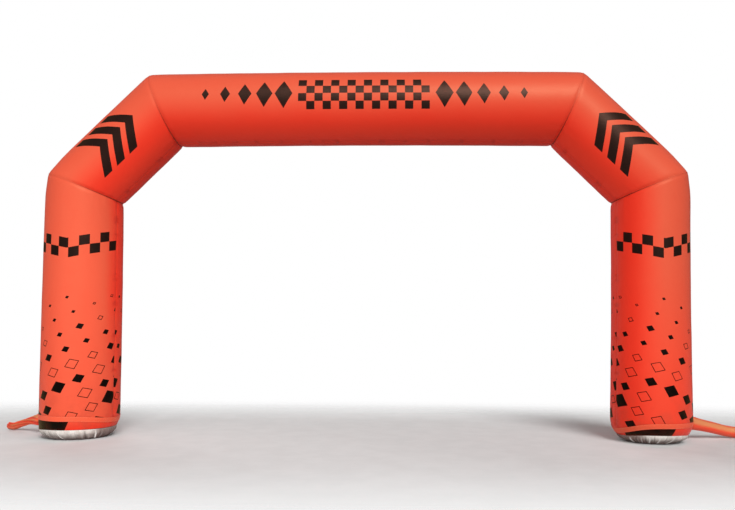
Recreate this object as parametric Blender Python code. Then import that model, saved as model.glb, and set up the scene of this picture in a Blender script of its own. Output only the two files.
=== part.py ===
"""Inflatable arch: five air-filled cloth tubes joined at mitred seams, on two gathered feet.

A limp air sleeve lies beside the left foot and an inflated one leaves the right leg.
X runs along the arch, Y towards its back, Z up. The arch stands on z = 0.
Sizes are in metres.
"""

import math

import bpy
from mathutils import Vector

# ---- driving dimensions ----

TUBE_RADIUS = 0.46
ELBOW_X = 3.567  # joint of leg and shoulder, on the tubes' centre lines
ELBOW_Z = 3.075
CORNER_X = 2.567  # joint of shoulder and beam
CORNER_Z = 4.096
BEAM_BOW = 0.016  # how far the beam arches up at its middle
GAP = 0.0003  # between neighbouring pieces
FOOT_SEAM_GAP = 0.0005  # upright gap of base band and foot, whose seam slopes

# Each leg: its foot on the centre line, the seam of cloth and foot, which hangs lower on
# the outer and inner side, and belly, by how much the leg is wider half way up. The foot's
# flat on the ground has the contact radius and lies off the seam's middle by its shift.
LEGS = {
    "left": {
        "side": -1,
        "foot_x": 3.472,
        "seam_z": 0.126,
        "seam_radius": 0.4365,
        "outward_shift": 0.0165,
        "belly": 0.004,
        "seam_drop_out": 0.032,
        "seam_drop_in": 0.006,
        "contact_radius": 0.316,
        "contact_shift": -0.023,
        "end_z": 0.257,
        "end_drop_in": 0.050,
        "sleeve_azimuth": 15.0,
    },
    "right": {
        "side": 1,
        "foot_x": 3.439,
        "seam_z": 0.113,
        "seam_radius": 0.3950,
        "outward_shift": 0.009,
        "belly": -0.010,
        "seam_drop_out": 0.030,
        "seam_drop_in": 0.042,
        "contact_radius": 0.249,
        "contact_shift": -0.029,
        "end_z": 0.227,
        "end_drop_in": 0.105,
        "sleeve_azimuth": 12.0,
    },
}

SEAM_DIP = 0.007  # how far the thread draws a mitred seam in
SEAM_DIP_REACH = 0.028
CROTCH_DIP = 0.006  # extra on the arch's inner side
ELBOW_ROUNDING = 0.040  # the outer corner of leg and shoulder is soft
CORNER_ROUNDING = 0.005
ROUNDING_REACH = 0.17
ROUNDING_SHARPNESS = 4

LONG_SEAM_DEG = 12.0  # each tube's lengthwise seam, from its inner side towards the front
LONG_SEAM_DIP = 0.0065
LONG_SEAM_REACH = 0.014
LONG_SEAM_COLUMNS_DEG = (-3.6, -1.4, 0.0, 1.4, 3.6)
PUCKER_SHARE = 0.40  # how much the dip varies along the seam
PUCKER_LENGTH = 0.29

END_DROP_POWER = 2.5  # how leg, tape and base band meet lower on the arch's inner side
END_CENTRE_SHARE = 0.25
END_GAP = 0.0014  # between leg and base band, under the tape
DRAW_TOP_Z = 0.32  # below this the leg draws in towards its foot
DRAW_POWER = 3.2
SEAM_DROP_POWER = 3

TAPE_WIDTH = 0.058
TAPE_THICKNESS = 0.002
TAPE_CLEARANCE = 0.0018  # also takes up the chords of the leg's facets
TAPE_OPENING_DEG = 14.0  # half the arc that the tape leaves free at its sleeve

FOOT_SLOPE = 2.2  # 1 for a round bulge, more for a flatter slope
FOOT_GATHER = 0.006
FOOT_GATHERS = 24

SLEEVE_CLEARANCE = 0.0012
OUTLET_FOLDS = 7
OUTLET_FOLD_DEPTH = 0.20
OUTLET_TWIST_DEG = 110.0
OUTLET_RECESS = 0.030  # depth of the gathered end's hollow
INLET_WALL = 0.003
INLET_MOUTH_DEPTH = 0.14

# Centres and half sizes along each sleeve, from the leg to its end.
# x is counted outwards from the middle of the arch.
OUTLET_SECTIONS = (
    {"x": 3.94, "y": 0.115, "z": 0.180, "half_width": 0.074, "half_height": 0.080},
    {"x": 4.05, "y": 0.140, "z": 0.172, "half_width": 0.066, "half_height": 0.076},
    {"x": 4.13, "y": 0.190, "z": 0.158, "half_width": 0.050, "half_height": 0.064},
    {"x": 4.22, "y": 0.250, "z": 0.142, "half_width": 0.043, "half_height": 0.047},
    {"x": 4.31, "y": 0.310, "z": 0.116, "half_width": 0.046, "half_height": 0.043},
    {"x": 4.41, "y": 0.365, "z": 0.087, "half_width": 0.050, "half_height": 0.045},
    {"x": 4.51, "y": 0.400, "z": 0.054, "half_width": 0.052, "half_height": 0.048},
    {"x": 4.595, "y": 0.411, "z": 0.056, "half_width": 0.046, "half_height": 0.042},
)
INLET_SECTIONS = (
    {"x": 3.91, "y": 0.098, "z": 0.208, "half_width": 0.082, "half_height": 0.086},
    {"x": 4.00, "y": 0.122, "z": 0.190, "half_width": 0.077, "half_height": 0.080},
    {"x": 4.12, "y": 0.155, "z": 0.163, "half_width": 0.071, "half_height": 0.071},
    {"x": 4.27, "y": 0.195, "z": 0.130, "half_width": 0.068, "half_height": 0.068},
    {"x": 4.41, "y": 0.225, "z": 0.094, "half_width": 0.066, "half_height": 0.066},
    {"x": 4.50, "y": 0.235, "z": 0.078, "half_width": 0.066, "half_height": 0.066},
    {"x": 4.56, "y": 0.237, "z": 0.069, "half_width": 0.066, "half_height": 0.066},
    {"x": 4.63, "y": 0.237, "z": 0.065, "half_width": 0.066, "half_height": 0.066},
)

TUBE_SIDES = 36
FOOT_SIDES = 72
SLEEVE_SIDES = 28
SEAM_STATIONS = (0.0, 0.03, 0.08, 0.16, 0.30)  # rings, by distance from a mitred seam
LEG_RINGS = 19  # between the drawn-in end of a leg and its uppermost 0.3 m
SHOULDER_RINGS = 6
BEAM_RINGS = 17
SECTION_STEPS = 3  # rings between two sections of a sleeve

# ---- finishes: colour, roughness, metallic ----

FINISHES = {
    "arch_cloth": ((0.80, 0.095, 0.035), 0.55, 0.0),
    "tape": ((0.83, 0.13, 0.06), 0.60, 0.0),
    "foot_cloth": ((0.42, 0.39, 0.35), 0.45, 0.0),
    "sleeve_cloth": ((0.82, 0.14, 0.07), 0.60, 0.0),
}

X_AXIS = Vector((1.0, 0.0, 0.0))
Y_AXIS = Vector((0.0, 1.0, 0.0))
Z_AXIS = Vector((0.0, 0.0, 1.0))


def clear_scene():
    for item in list(bpy.data.objects):
        bpy.data.objects.remove(item, do_unlink=True)


def finish(name):
    material = bpy.data.materials.get(name)
    if material is None:
        colour, roughness, metallic = FINISHES[name]
        material = bpy.data.materials.new(name)
        material.use_nodes = True
        shader = material.node_tree.nodes["Principled BSDF"]
        shader.inputs["Base Color"].default_value = (*colour, 1.0)
        shader.inputs["Roughness"].default_value = roughness
        shader.inputs["Metallic"].default_value = metallic
    return material


def add_solid(name, points, faces, finish_name):
    """One closed solid, with smooth faces but for its edges."""
    mesh = bpy.data.meshes.new(name)
    mesh.from_pydata(points, [], faces)
    mesh.shade_smooth()
    mesh.set_sharp_from_angle(angle=math.radians(40.0))
    mesh.materials.append(finish(finish_name))
    item = bpy.data.objects.new(name, mesh)
    bpy.context.scene.collection.objects.link(item)
    return item


def skin_faces(rings, sides):
    """Quads between neighbouring rings of the same number of points."""
    faces = []
    for ring in range(rings - 1):
        for column in range(sides):
            after = (column + 1) % sides
            faces.append(
                (
                    ring * sides + column,
                    ring * sides + after,
                    (ring + 1) * sides + after,
                    (ring + 1) * sides + column,
                )
            )
    return faces


def fan(centre, ring_start, sides, facing_back):
    """Triangles from one point to a ring."""
    faces = []
    for column in range(sides):
        a = ring_start + column
        b = ring_start + (column + 1) % sides
        faces.append((centre, b, a) if facing_back else (centre, a, b))
    return faces


def loft(name, rings, start_centre, end_centre, finish_name):
    """A closed solid through rings that run anticlockwise seen from its end, closed by fans."""
    sides = len(rings[0])
    points = [point for ring in rings for point in ring]
    faces = skin_faces(len(rings), sides)
    points.append(start_centre)
    faces += fan(len(points) - 1, 0, sides, True)
    points.append(end_centre)
    faces += fan(len(points) - 1, (len(rings) - 1) * sides, sides, False)
    return add_solid(name, points, faces, finish_name)


def mean(ring):
    return sum(ring, Vector((0.0, 0.0, 0.0))) / len(ring)


def turns(sides):
    return [2.0 * math.pi * k / sides for k in range(sides)]


def tube_turns(seam_angle):
    """Angles around a tube, closer together at its lengthwise seam."""
    near = [seam_angle + math.radians(step) for step in LONG_SEAM_COLUMNS_DEG]
    clear = math.pi / TUBE_SIDES
    plain = [a for a in turns(TUBE_SIDES) if a < near[0] - clear or a > near[-1] + clear]
    return sorted(plain + near)


def bell(distance, reach):
    return math.exp(-((distance / reach) ** 2))


# ---- the five tubes ----


def seam_draw(angle, distance, rounding):
    """How far the skin lies inside the plain tube near a mitred seam; angle 0 is the outside."""
    outside = max(0.0, math.cos(angle)) ** ROUNDING_SHARPNESS
    inside = max(0.0, -math.cos(angle))
    dip = SEAM_DIP + CROTCH_DIP * inside
    corner = rounding * outside
    return dip * bell(distance, SEAM_DIP_REACH) + corner * bell(distance, ROUNDING_REACH)


def long_seam_draw(turn, distance):
    """The puckered dip of a lengthwise seam, at an angle turn from it."""
    pucker = math.sin(2.0 * math.pi * distance / PUCKER_LENGTH)
    dip = LONG_SEAM_DIP * (1.0 + PUCKER_SHARE * pucker)
    return dip * bell(turn * TUBE_RADIUS, LONG_SEAM_REACH)


def cut_point(joint, offset, along, normal):
    """Where the line through joint + offset meets the plane through joint."""
    return joint + offset - along * (offset.dot(normal) / along.dot(normal))


def bisector(before, joint, after):
    """Normal of the mitre plane between two tubes."""
    return ((joint - before).normalized() + (after - joint).normalized()).normalized()


def seam_to_seam_stations(length, middle_rings):
    near = [d / length for d in SEAM_STATIONS]
    spread = near[-1]
    middle = [
        spread + (1.0 - 2.0 * spread) * k / (middle_rings + 1)
        for k in range(1, middle_rings + 1)
    ]
    return near + middle + [1.0 - s for s in reversed(near)]


def mitred_tube(name, start, end, cuts, rounding, middle_rings, bow):
    """A tube between two mitre planes, arched up by bow."""
    axis = end - start
    length = axis.length
    along = axis / length
    outward = along.cross(Y_AXIS)
    half_gap = GAP / 2.0
    starts = start + along * (half_gap / along.dot(cuts[0]))
    ends = end - along * (half_gap / along.dot(cuts[1]))
    seam_angle = math.pi - math.radians(LONG_SEAM_DEG)
    rings = []
    for s in seam_to_seam_stations(length, middle_rings):
        lift = Z_AXIS * (bow * 4.0 * s * (1.0 - s))
        ring = []
        for angle in tube_turns(seam_angle):
            radius = TUBE_RADIUS - long_seam_draw(angle - seam_angle, s * length)
            radius -= seam_draw(angle, s * length, rounding[0])
            radius -= seam_draw(angle, (1.0 - s) * length, rounding[1])
            offset = (outward * math.cos(angle) - Y_AXIS * math.sin(angle)) * radius
            first = cut_point(starts, offset, along, cuts[0])
            last = cut_point(ends, offset, along, cuts[1])
            ring.append(first.lerp(last, s) + lift)
        rings.append(ring)
    return loft(name, rings, mean(rings[0]), mean(rings[-1]), "arch_cloth")


# ---- the legs' lower ends ----


def seam_height(leg, angle):
    """Height of the seam of base band and foot; angle 0 is the arch's outside."""
    outside = max(0.0, math.cos(angle)) ** SEAM_DROP_POWER
    inside = max(0.0, -math.cos(angle)) ** SEAM_DROP_POWER
    return leg["seam_z"] - leg["seam_drop_out"] * outside - leg["seam_drop_in"] * inside


def end_height(leg, angle):
    """Height of the tape's middle, where leg and base band meet."""
    inside = max(0.0, -math.cos(angle)) ** END_DROP_POWER
    return leg["end_z"] - leg["end_drop_in"] * inside


def end_centre(leg, lift):
    """Middle of the flat between leg and base band, and a little off it."""
    side_angle = math.pi / 2.0
    z = leg["end_z"] - END_CENTRE_SHARE * leg["end_drop_in"]
    return Vector((leg_centre_x(leg, side_angle, z), 0.0, z + lift))


def draw_in(leg, angle, z):
    """From 0 above the drawn-in end of the leg to 1 at the foot's seam."""
    seam_z = seam_height(leg, angle)
    fade = (DRAW_TOP_Z - max(z, seam_z)) / (DRAW_TOP_Z - seam_z)
    return max(0.0, fade) ** DRAW_POWER


def leg_centre_x(leg, angle, z):
    plain = leg["foot_x"] + (ELBOW_X - leg["foot_x"]) * z / ELBOW_Z
    return leg["side"] * (plain + leg["outward_shift"] * draw_in(leg, angle, z))


def leg_radius(leg, angle, z):
    return TUBE_RADIUS - (TUBE_RADIUS - leg["seam_radius"]) * draw_in(leg, angle, z)


def leg_point(leg, angle, z, draw):
    radius = leg_radius(leg, angle, z) - draw
    x = leg_centre_x(leg, angle, z) + leg["side"] * radius * math.cos(angle)
    return Vector((x, radius * math.sin(angle), z))


def seam_centre_x(leg):
    return leg_centre_x(leg, math.pi / 2.0, leg["seam_z"])


def upward(leg, ring):
    """The ring's points in the order that faces the skin outwards on either side."""
    return ring if leg["side"] > 0 else [ring[0]] + ring[:0:-1]


def leg_tube(name, leg):
    """The leg from the tape's middle up to its mitre at the elbow."""
    side = leg["side"]
    elbow = Vector((side * ELBOW_X, 0.0, ELBOW_Z))
    foot = Vector((side * leg["foot_x"], 0.0, 0.0))
    corner = Vector((side * CORNER_X, 0.0, CORNER_Z))
    along = (elbow - foot) / ELBOW_Z
    cut = bisector(foot, elbow, corner)
    top = elbow - along * (GAP / 2.0 / along.dot(cut))
    length = ELBOW_Z - leg["end_z"]
    low = [0.0, TAPE_WIDTH / 2.0 / length, (DRAW_TOP_Z - leg["end_z"]) / length]
    high = [1.0 - d / length for d in reversed(SEAM_STATIONS)]
    step = (high[0] - low[-1]) / (LEG_RINGS + 1)
    stations = low + [low[-1] + step * k for k in range(1, LEG_RINGS + 1)] + high
    seam_angle = math.pi + math.radians(LONG_SEAM_DEG)
    rings = []
    for s in stations:
        ring = []
        for angle in tube_turns(seam_angle):
            draw = long_seam_draw(angle - seam_angle, (1.0 - s) * length)
            draw += seam_draw(angle, (1.0 - s) * length, ELBOW_ROUNDING)
            draw -= leg["belly"] * math.sin(math.pi * s)
            reach = TUBE_RADIUS - draw
            offset = X_AXIS * (side * reach * math.cos(angle)) + Y_AXIS * (reach * math.sin(angle))
            low_z = end_height(leg, angle) + END_GAP / 2.0
            high_z = cut_point(top, offset, along, cut).z
            ring.append(leg_point(leg, angle, low_z + (high_z - low_z) * s, draw))
        rings.append(upward(leg, ring))
    start = end_centre(leg, END_GAP / 2.0)
    return loft(name, rings, start, mean(rings[-1]), "arch_cloth")


def base_band(name, leg):
    """The short tube between the tape and the foot's seam."""
    rings = []
    for s in (0.0, 0.3, 0.65, 1.0):
        ring = []
        for angle in turns(FOOT_SIDES):
            low_z = seam_height(leg, angle) + FOOT_SEAM_GAP / 2.0
            high_z = end_height(leg, angle) - END_GAP / 2.0
            ring.append(leg_point(leg, angle, low_z + (high_z - low_z) * s, 0.0))
        rings.append(upward(leg, ring))
    start = Vector((seam_centre_x(leg), 0.0, leg["seam_z"] + FOOT_SEAM_GAP / 2.0))
    return loft(name, rings, start, end_centre(leg, -END_GAP / 2.0), "arch_cloth")


def foot(name, leg):
    """A gathered cap that bulges down from the seam to its flat on the ground."""
    centre_x = seam_centre_x(leg)
    steps = 7
    rings = []
    for step in range(steps + 1):
        fall = 0.5 * math.pi * (1.0 - step / steps)
        ring = []
        for angle in turns(FOOT_SIDES):
            rise = math.cos(fall) ** FOOT_SLOPE
            spread = leg["contact_radius"] + (leg["seam_radius"] - leg["contact_radius"]) * rise
            z = (seam_height(leg, angle) - FOOT_SEAM_GAP / 2.0) * (1.0 - math.sin(fall))
            pleat = math.cos(FOOT_GATHERS * angle) * (0.7 + 0.3 * math.sin(3.0 * angle + 1.0))
            swell = math.sin(math.pi * step / steps)
            spread += FOOT_GATHER * pleat * swell
            outwards = spread * math.cos(angle) + leg["contact_shift"] * (1.0 - rise)
            x = centre_x + leg["side"] * outwards
            ring.append(Vector((x, spread * math.sin(angle), z)))
        rings.append(upward(leg, ring))
    start = Vector((centre_x + leg["side"] * leg["contact_shift"], 0.0, 0.0))
    end = Vector((centre_x, 0.0, leg["seam_z"] - FOOT_SEAM_GAP / 2.0))
    return loft(name, rings, start, end, "foot_cloth")


def tape(name, leg):
    """A band around the leg, open where the sleeve leaves it."""
    open_from = leg["sleeve_azimuth"] - TAPE_OPENING_DEG
    open_to = leg["sleeve_azimuth"] + TAPE_OPENING_DEG
    steps = 66
    half = TAPE_WIDTH / 2.0
    rings = []
    for step in range(steps + 1):
        angle = math.radians(open_to + (360.0 + open_from - open_to) * step / steps)
        middle_z = end_height(leg, angle)
        ring = []
        for z, out in ((-half, 0.0), (-half, 1.0), (0.0, 1.0), (half, 1.0), (half, 0.0), (0.0, 0.0)):
            stand_off = TAPE_CLEARANCE + TAPE_THICKNESS * out
            ring.append(leg_point(leg, angle, middle_z + z, -stand_off))
        rings.append(ring if leg["side"] < 0 else ring[::-1])
    return loft(name, rings, mean(rings[0]), mean(rings[-1]), "tape")


# ---- the air sleeves ----


def smooth_rows(rows, steps):
    """Rows between the given ones, on a smooth curve through them."""
    dense = []
    for k in range(len(rows) - 1):
        a = rows[max(k - 1, 0)]
        b = rows[k]
        c = rows[k + 1]
        d = rows[min(k + 2, len(rows) - 1)]
        for step in range(steps):
            t = step / steps
            row = {}
            for key in b:
                slope_b = (c[key] - a[key]) / 2.0
                slope_c = (d[key] - b[key]) / 2.0
                change = c[key] - b[key]
                bend = 3.0 * change - 2.0 * slope_b - slope_c
                turn = slope_b + slope_c - 2.0 * change
                row[key] = b[key] + t * (slope_b + t * (bend + t * turn))
            dense.append(row)
    dense.append(dict(rows[-1]))
    return dense


def skin_x(leg, y, z):
    """How far out the leg's skin lies at a point of its side."""
    angle = math.asin(y / TUBE_RADIUS)
    radius = leg_radius(leg, angle, z) + SLEEVE_CLEARANCE
    return leg_centre_x(leg, angle, z) + leg["side"] * math.sqrt(radius * radius - y * y)


def sleeve_rings(leg, rows, shape, inset):
    """Rings square to the sleeve's path, no lower than the ground."""
    centres = [Vector((leg["side"] * row["x"], row["y"], row["z"])) for row in rows]
    rings = []
    for k, row in enumerate(rows):
        ahead = centres[min(k + 1, len(rows) - 1)] - centres[max(k - 1, 0)]
        across = ahead.cross(Z_AXIS).normalized()
        up = across.cross(ahead).normalized()
        ring = []
        for angle in turns(SLEEVE_SIDES):
            size = shape(angle, k / (len(rows) - 1))
            wide = (row["half_width"] - inset) * size * math.cos(angle)
            high = (row["half_height"] - inset) * size * math.sin(angle)
            point = centres[k] + across * wide + up * high
            point.z = max(point.z, inset)
            ring.append(point)
        rings.append(ring)
    return rings


def on_leg(leg, ring, centre, share):
    """A ring drawn in to a share of its size and laid on the leg's skin."""
    laid = []
    for point in ring:
        near = centre.lerp(point, share)
        near.x = skin_x(leg, near.y, near.z)
        laid.append(near)
    return laid


def root_rings(leg, ring):
    """Rings that close a sleeve on the leg, from its middle outwards."""
    centre = mean(ring)
    return [on_leg(leg, ring, centre, share) for share in (0.25, 0.5, 0.75, 1.0)]


def outlet_shape(angle, s):
    """Folds of the limp sleeve, wound a little along its length."""
    turn = math.radians(OUTLET_TWIST_DEG) * s
    depth = OUTLET_FOLD_DEPTH * (0.75 + 0.25 * math.sin(2.0 * angle + 5.0 * s))
    fold = 0.5 - 0.5 * math.cos(OUTLET_FOLDS * (angle + turn))
    return 1.0 - depth * fold * min(1.0, 0.35 + 2.0 * s)


def round_shape(angle, s):
    return 1.0


def outlet_sleeve(name, leg):
    """The limp sleeve: gathered cloth from the leg to an end that turns up from the ground."""
    rows = smooth_rows(OUTLET_SECTIONS, SECTION_STEPS)
    rings = sleeve_rings(leg, rows, outlet_shape, 0.0)
    rings = root_rings(leg, rings[0]) + rings[1:]
    last = rings[-1]
    back = (mean(rings[-2]) - mean(last)).normalized() * OUTLET_RECESS
    middle = mean(last)
    rings.append([middle.lerp(point, 0.80) + back * 0.25 for point in last])
    rings.append([middle.lerp(point, 0.45) + back * 0.85 for point in last])
    return sleeve_solid(name, leg, rings, middle + back)


def inlet_sleeve(name, leg):
    """The inflated sleeve, open for some way behind its mouth."""
    rows = smooth_rows(INLET_SECTIONS, SECTION_STEPS)
    outer = sleeve_rings(leg, rows, round_shape, 0.0)
    inner = sleeve_rings(leg, rows, round_shape, INLET_WALL)
    deep_x = INLET_SECTIONS[-1]["x"] - INLET_MOUTH_DEPTH
    hollow = [ring for row, ring in zip(rows, inner) if row["x"] >= deep_x]
    rings = root_rings(leg, outer[0]) + outer[1:] + hollow[::-1]
    return sleeve_solid(name, leg, rings, mean(hollow[0]))


def sleeve_solid(name, leg, rings, end_centre):
    start_centre = mean(rings[0])
    start_centre.x = skin_x(leg, start_centre.y, start_centre.z)
    return loft(name, [ring[::-1] for ring in rings], start_centre, end_centre, "sleeve_cloth")


def build():
    clear_scene()
    joints = []
    for side, x, z in (
        (-1, ELBOW_X, ELBOW_Z),
        (-1, CORNER_X, CORNER_Z),
        (1, CORNER_X, CORNER_Z),
        (1, ELBOW_X, ELBOW_Z),
    ):
        joints.append(Vector((side * x, 0.0, z)))
    feet = [Vector((leg["side"] * leg["foot_x"], 0.0, 0.0)) for leg in LEGS.values()]
    line = [feet[0], *joints, feet[1]]
    cuts = [bisector(*line[k : k + 3]) for k in range(4)]
    soft = (ELBOW_ROUNDING, CORNER_ROUNDING)
    sharp = (CORNER_ROUNDING, CORNER_ROUNDING)
    mitred_tube("shoulder_left", line[1], line[2], cuts[0:2], soft, SHOULDER_RINGS, 0.0)
    mitred_tube("beam", line[2], line[3], cuts[1:3], sharp, BEAM_RINGS, BEAM_BOW)
    mitred_tube("shoulder_right", line[3], line[4], cuts[2:4], soft[::-1], SHOULDER_RINGS, 0.0)
    for word, leg in LEGS.items():
        leg_tube("leg_" + word, leg)
        base_band("base_" + word, leg)
        foot("foot_" + word, leg)
        tape("tape_" + word, leg)
    outlet_sleeve("sleeve_outlet", LEGS["left"])
    inlet_sleeve("sleeve_inlet", LEGS["right"])


build()
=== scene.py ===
"""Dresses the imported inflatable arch: printed tubes, gathered feet, tapes and air sleeves.

X runs along the arch, Y towards its back, Z up. Everything is in metres.
"""

import math
from functools import partialmethod

import bmesh
import bpy
import numpy as np
from bpy.props import FloatProperty, FloatVectorProperty, IntProperty, PointerProperty
from mathutils import Matrix, Vector


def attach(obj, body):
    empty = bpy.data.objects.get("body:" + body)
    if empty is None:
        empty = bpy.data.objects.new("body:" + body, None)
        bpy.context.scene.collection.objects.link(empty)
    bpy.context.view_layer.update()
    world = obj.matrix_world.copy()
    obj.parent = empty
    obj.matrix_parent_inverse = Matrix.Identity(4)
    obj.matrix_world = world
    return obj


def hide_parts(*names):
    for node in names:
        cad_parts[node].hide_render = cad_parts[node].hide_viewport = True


bl_info = {
    "name": "Inflatable arch",
    "version": (1, 0, 0),
    "blender": (4, 5, 0),
    "location": "View3D > Sidebar > Arch",
    "description": "Cloth, print, tapes and air sleeves of an inflatable arch",
    "category": "Object",
}

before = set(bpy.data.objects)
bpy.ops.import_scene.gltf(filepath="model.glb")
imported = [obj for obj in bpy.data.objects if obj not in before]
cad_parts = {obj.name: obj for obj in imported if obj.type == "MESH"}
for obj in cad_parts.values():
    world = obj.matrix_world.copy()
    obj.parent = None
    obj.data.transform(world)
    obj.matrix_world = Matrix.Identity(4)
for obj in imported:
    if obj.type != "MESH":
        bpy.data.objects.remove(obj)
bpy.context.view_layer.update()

# ---- the arch's shape ----

TUBE_RADIUS = 0.46
ELBOW_X = 3.567
ELBOW_Z = 3.075
CORNER_X = 2.567
CORNER_Z = 4.096
BEAM_BOW = 0.016
GAP = 0.0003
FOOT_SEAM_GAP = 0.0005

LEGS = {
    "left": {
        "side": -1,
        "foot_x": 3.472,
        "seam_z": 0.126,
        "seam_radius": 0.4365,
        "outward_shift": 0.0165,
        "belly": 0.004,
        "seam_drop_out": 0.032,
        "seam_drop_in": 0.006,
        "contact_radius": 0.316,
        "contact_shift": -0.023,
        "end_z": 0.257,
        "end_drop_in": 0.050,
        "sleeve_azimuth": 15.0,
        "pucker": 1.0,
        "shift": 0.4,
    },
    "right": {
        "side": 1,
        "foot_x": 3.439,
        "seam_z": 0.113,
        "seam_radius": 0.3950,
        "outward_shift": 0.009,
        "belly": -0.010,
        "seam_drop_out": 0.030,
        "seam_drop_in": 0.042,
        "contact_radius": 0.249,
        "contact_shift": -0.029,
        "end_z": 0.227,
        "end_drop_in": 0.105,
        "sleeve_azimuth": 12.0,
        "pucker": 0.55,
        "shift": 2.3,
    },
}

MITRE_DIP = 0.007
MITRE_DIP_REACH = 0.028
CROTCH_DIP = 0.004
ELBOW_ROUNDING = 0.040
CORNER_ROUNDING = 0.005
ROUNDING_REACH = 0.17
ROUNDING_SHARPNESS = 4
LONG_SEAM_DEG = 12.0
LONG_SEAM_REACH = 0.014
LONG_DIP_SHARE = 0.40
LONG_DIP_STEP = 0.29

END_DROP_POWER = 2.5
END_CENTRE_SHARE = 0.25
END_GAP = 0.0010
DRAW_TOP_Z = 0.32
DRAW_POWER = 3.2
SEAM_DROP_POWER = 3
TAPE_WIDTH = 0.058
TAPE_THICKNESS = 0.002
TAPE_CLEARANCE = 0.0018
TAPE_OPENING_DEG = 14.0  # half the arc that it leaves free at the sleeve
FOOT_SLOPE = 2.2
FOOT_GATHER = 0.006
FOOT_GATHERS = 24
SLEEVE_CLEARANCE = 0.0012
FOOT_PRESSURE = 4.0  # of the air on the cloth, in the simulation's units

# ---- the detail of its cloth ----

# Puckers of the lengthwise seams, then those of the mitres, then the cloth's slack.
LONG_PUCKER_REACH = 0.045
LONG_PUCKER_GAIN = 3.2
LONG_PUCKER_SLANT = 0.35
LONG_PUCKER_STAGGER = 0.021
LONG_PUCKER_STEP = 0.115
LONG_LULL = 0.9
SEAM_STRIP = 0.010
MITRE_PUCKERS = 37
MITRE_PUCKER_REACH = 0.040
CROTCH_FOLDS = 22
CROTCH_FOLD_REACH = 0.10
CROTCH_FOLD_POWER = 1.6
SLACK_LENGTH = 0.83
SLACK_DEPTH = 0.0011
SLACK_PLEATS = 9
SLACK_PLEAT_DEPTH = 0.0006
END_FADE = 0.12

BASE_GATHERS = 44
BASE_GATHER = 0.0030
BASE_GATHER_REACH = 0.035
BASE_ROLL = 0.0016
BASE_ROLL_REACH = 0.006
FOOT_SMALL_FOLDS = 57
FOOT_SAG = 0.0035
FOOT_SAG_LENGTH = 0.42
TAPE_WANDER = 0.0008
TAPE_LIFT = 0.0005
TAPE_EDGE_LIFT = 0.0004
INLET_GATHER = 0.018
INLET_FLUTE = 0.010
INLET_BEND_AT = 0.42
INLET_BEND_REACH = 0.13
INLET_BEND_FOLD = 0.030
OUTLET_WIND_DEG = 110.0
OUTLET_FOLDS = 7.0
OUTLET_FOLD = 0.26
OUTLET_CREASES = 17.0
OUTLET_CREASE = 0.16
OUTLET_RIPPLE = 0.03
OUTLET_SWELL = 0.04

# How finely the pieces are divided.
FOOT_COLUMNS = 288
FOOT_STEPS = 30
BASE_RINGS = 22
TAPE_STEPS = 300
SLEEVE_STEPS = 16  # rings from one of its sections to the next
SLEEVE_COLUMNS = {"inlet": 120, "outlet": 252}
SLEEVE_ROOT_RINGS = 10  # rings that ease off the leg's skin

AIR_FRAMES = 20
SLEEVE_MEAN_RADIUS = 0.078
INLET_HOLLOW_X = 4.30  # from here to its mouth the full sleeve is hollow
INLET_WALL = 0.0030
MITRE_STRETCH = 1.08  # a mitre's length against the tube's girth

# Creases of each foot: where they start under the seam and end at the ground, in metres
# round from the front and outwards, then their width and depth. A ridge has less than none.
FOOT_CREASES = {
    "left": (
        (0.62, 0.54, 0.014, 0.014),
        (0.50, 0.41, 0.012, 0.016),
        (0.44, 0.35, 0.010, -0.012),
        (0.37, 0.27, 0.012, 0.018),
        (0.30, 0.20, 0.009, 0.015),
        (0.25, 0.16, 0.008, -0.010),
        (0.20, 0.11, 0.010, 0.016),
        (0.12, 0.05, 0.008, 0.010),
        (0.07, 0.00, 0.012, -0.012),
        (-0.15, -0.18, 0.007, 0.008),
        (-0.27, -0.30, 0.022, 0.010),
        (-0.40, -0.44, 0.014, -0.014),
        (-0.48, -0.47, 0.012, 0.012),
    ),
    "right": (
        (0.50, 0.46, 0.018, 0.012),
        (0.30, 0.27, 0.014, 0.008),
        (0.13, 0.10, 0.030, -0.007),
        (0.03, -0.01, 0.014, 0.009),
        (-0.07, -0.05, 0.022, -0.007),
        (-0.14, -0.11, 0.009, 0.011),
        (-0.20, -0.18, 0.018, -0.008),
        (-0.26, -0.22, 0.009, 0.013),
        (-0.31, -0.30, 0.014, -0.007),
        (-0.38, -0.37, 0.013, 0.014),
        (-0.47, -0.45, 0.020, -0.009),
        (-0.56, -0.54, 0.012, 0.010),
    ),
}
FOOT_SHADE = {"left": (-0.64, -0.90), "right": (-0.40, -0.74)}  # from light to dark, inwards
FOOT_UNDERSIDE = {"left": 0.022, "right": 0.0}  # how much higher the painted shade and dirt reach outwards

# Sections of the sleeves: outwards, back and up, then half their width and height.
OUTLET_SECTIONS = (
    (3.94, 0.115, 0.180, 0.074, 0.080),
    (4.05, 0.140, 0.172, 0.066, 0.076),
    (4.13, 0.190, 0.158, 0.050, 0.064),
    (4.22, 0.250, 0.142, 0.043, 0.047),
    (4.31, 0.310, 0.116, 0.046, 0.043),
    (4.41, 0.365, 0.087, 0.050, 0.045),
    (4.51, 0.400, 0.054, 0.052, 0.048),
    (4.595, 0.411, 0.056, 0.046, 0.042),
)
INLET_SECTIONS = (
    (3.91, 0.098, 0.208, 0.082, 0.086),
    (4.00, 0.122, 0.190, 0.077, 0.080),
    (4.12, 0.155, 0.163, 0.071, 0.071),
    (4.27, 0.195, 0.130, 0.068, 0.068),
    (4.41, 0.225, 0.094, 0.066, 0.066),
    (4.50, 0.235, 0.078, 0.066, 0.066),
    (4.56, 0.237, 0.069, 0.066, 0.066),
    (4.63, 0.237, 0.065, 0.066, 0.066),
)

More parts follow.
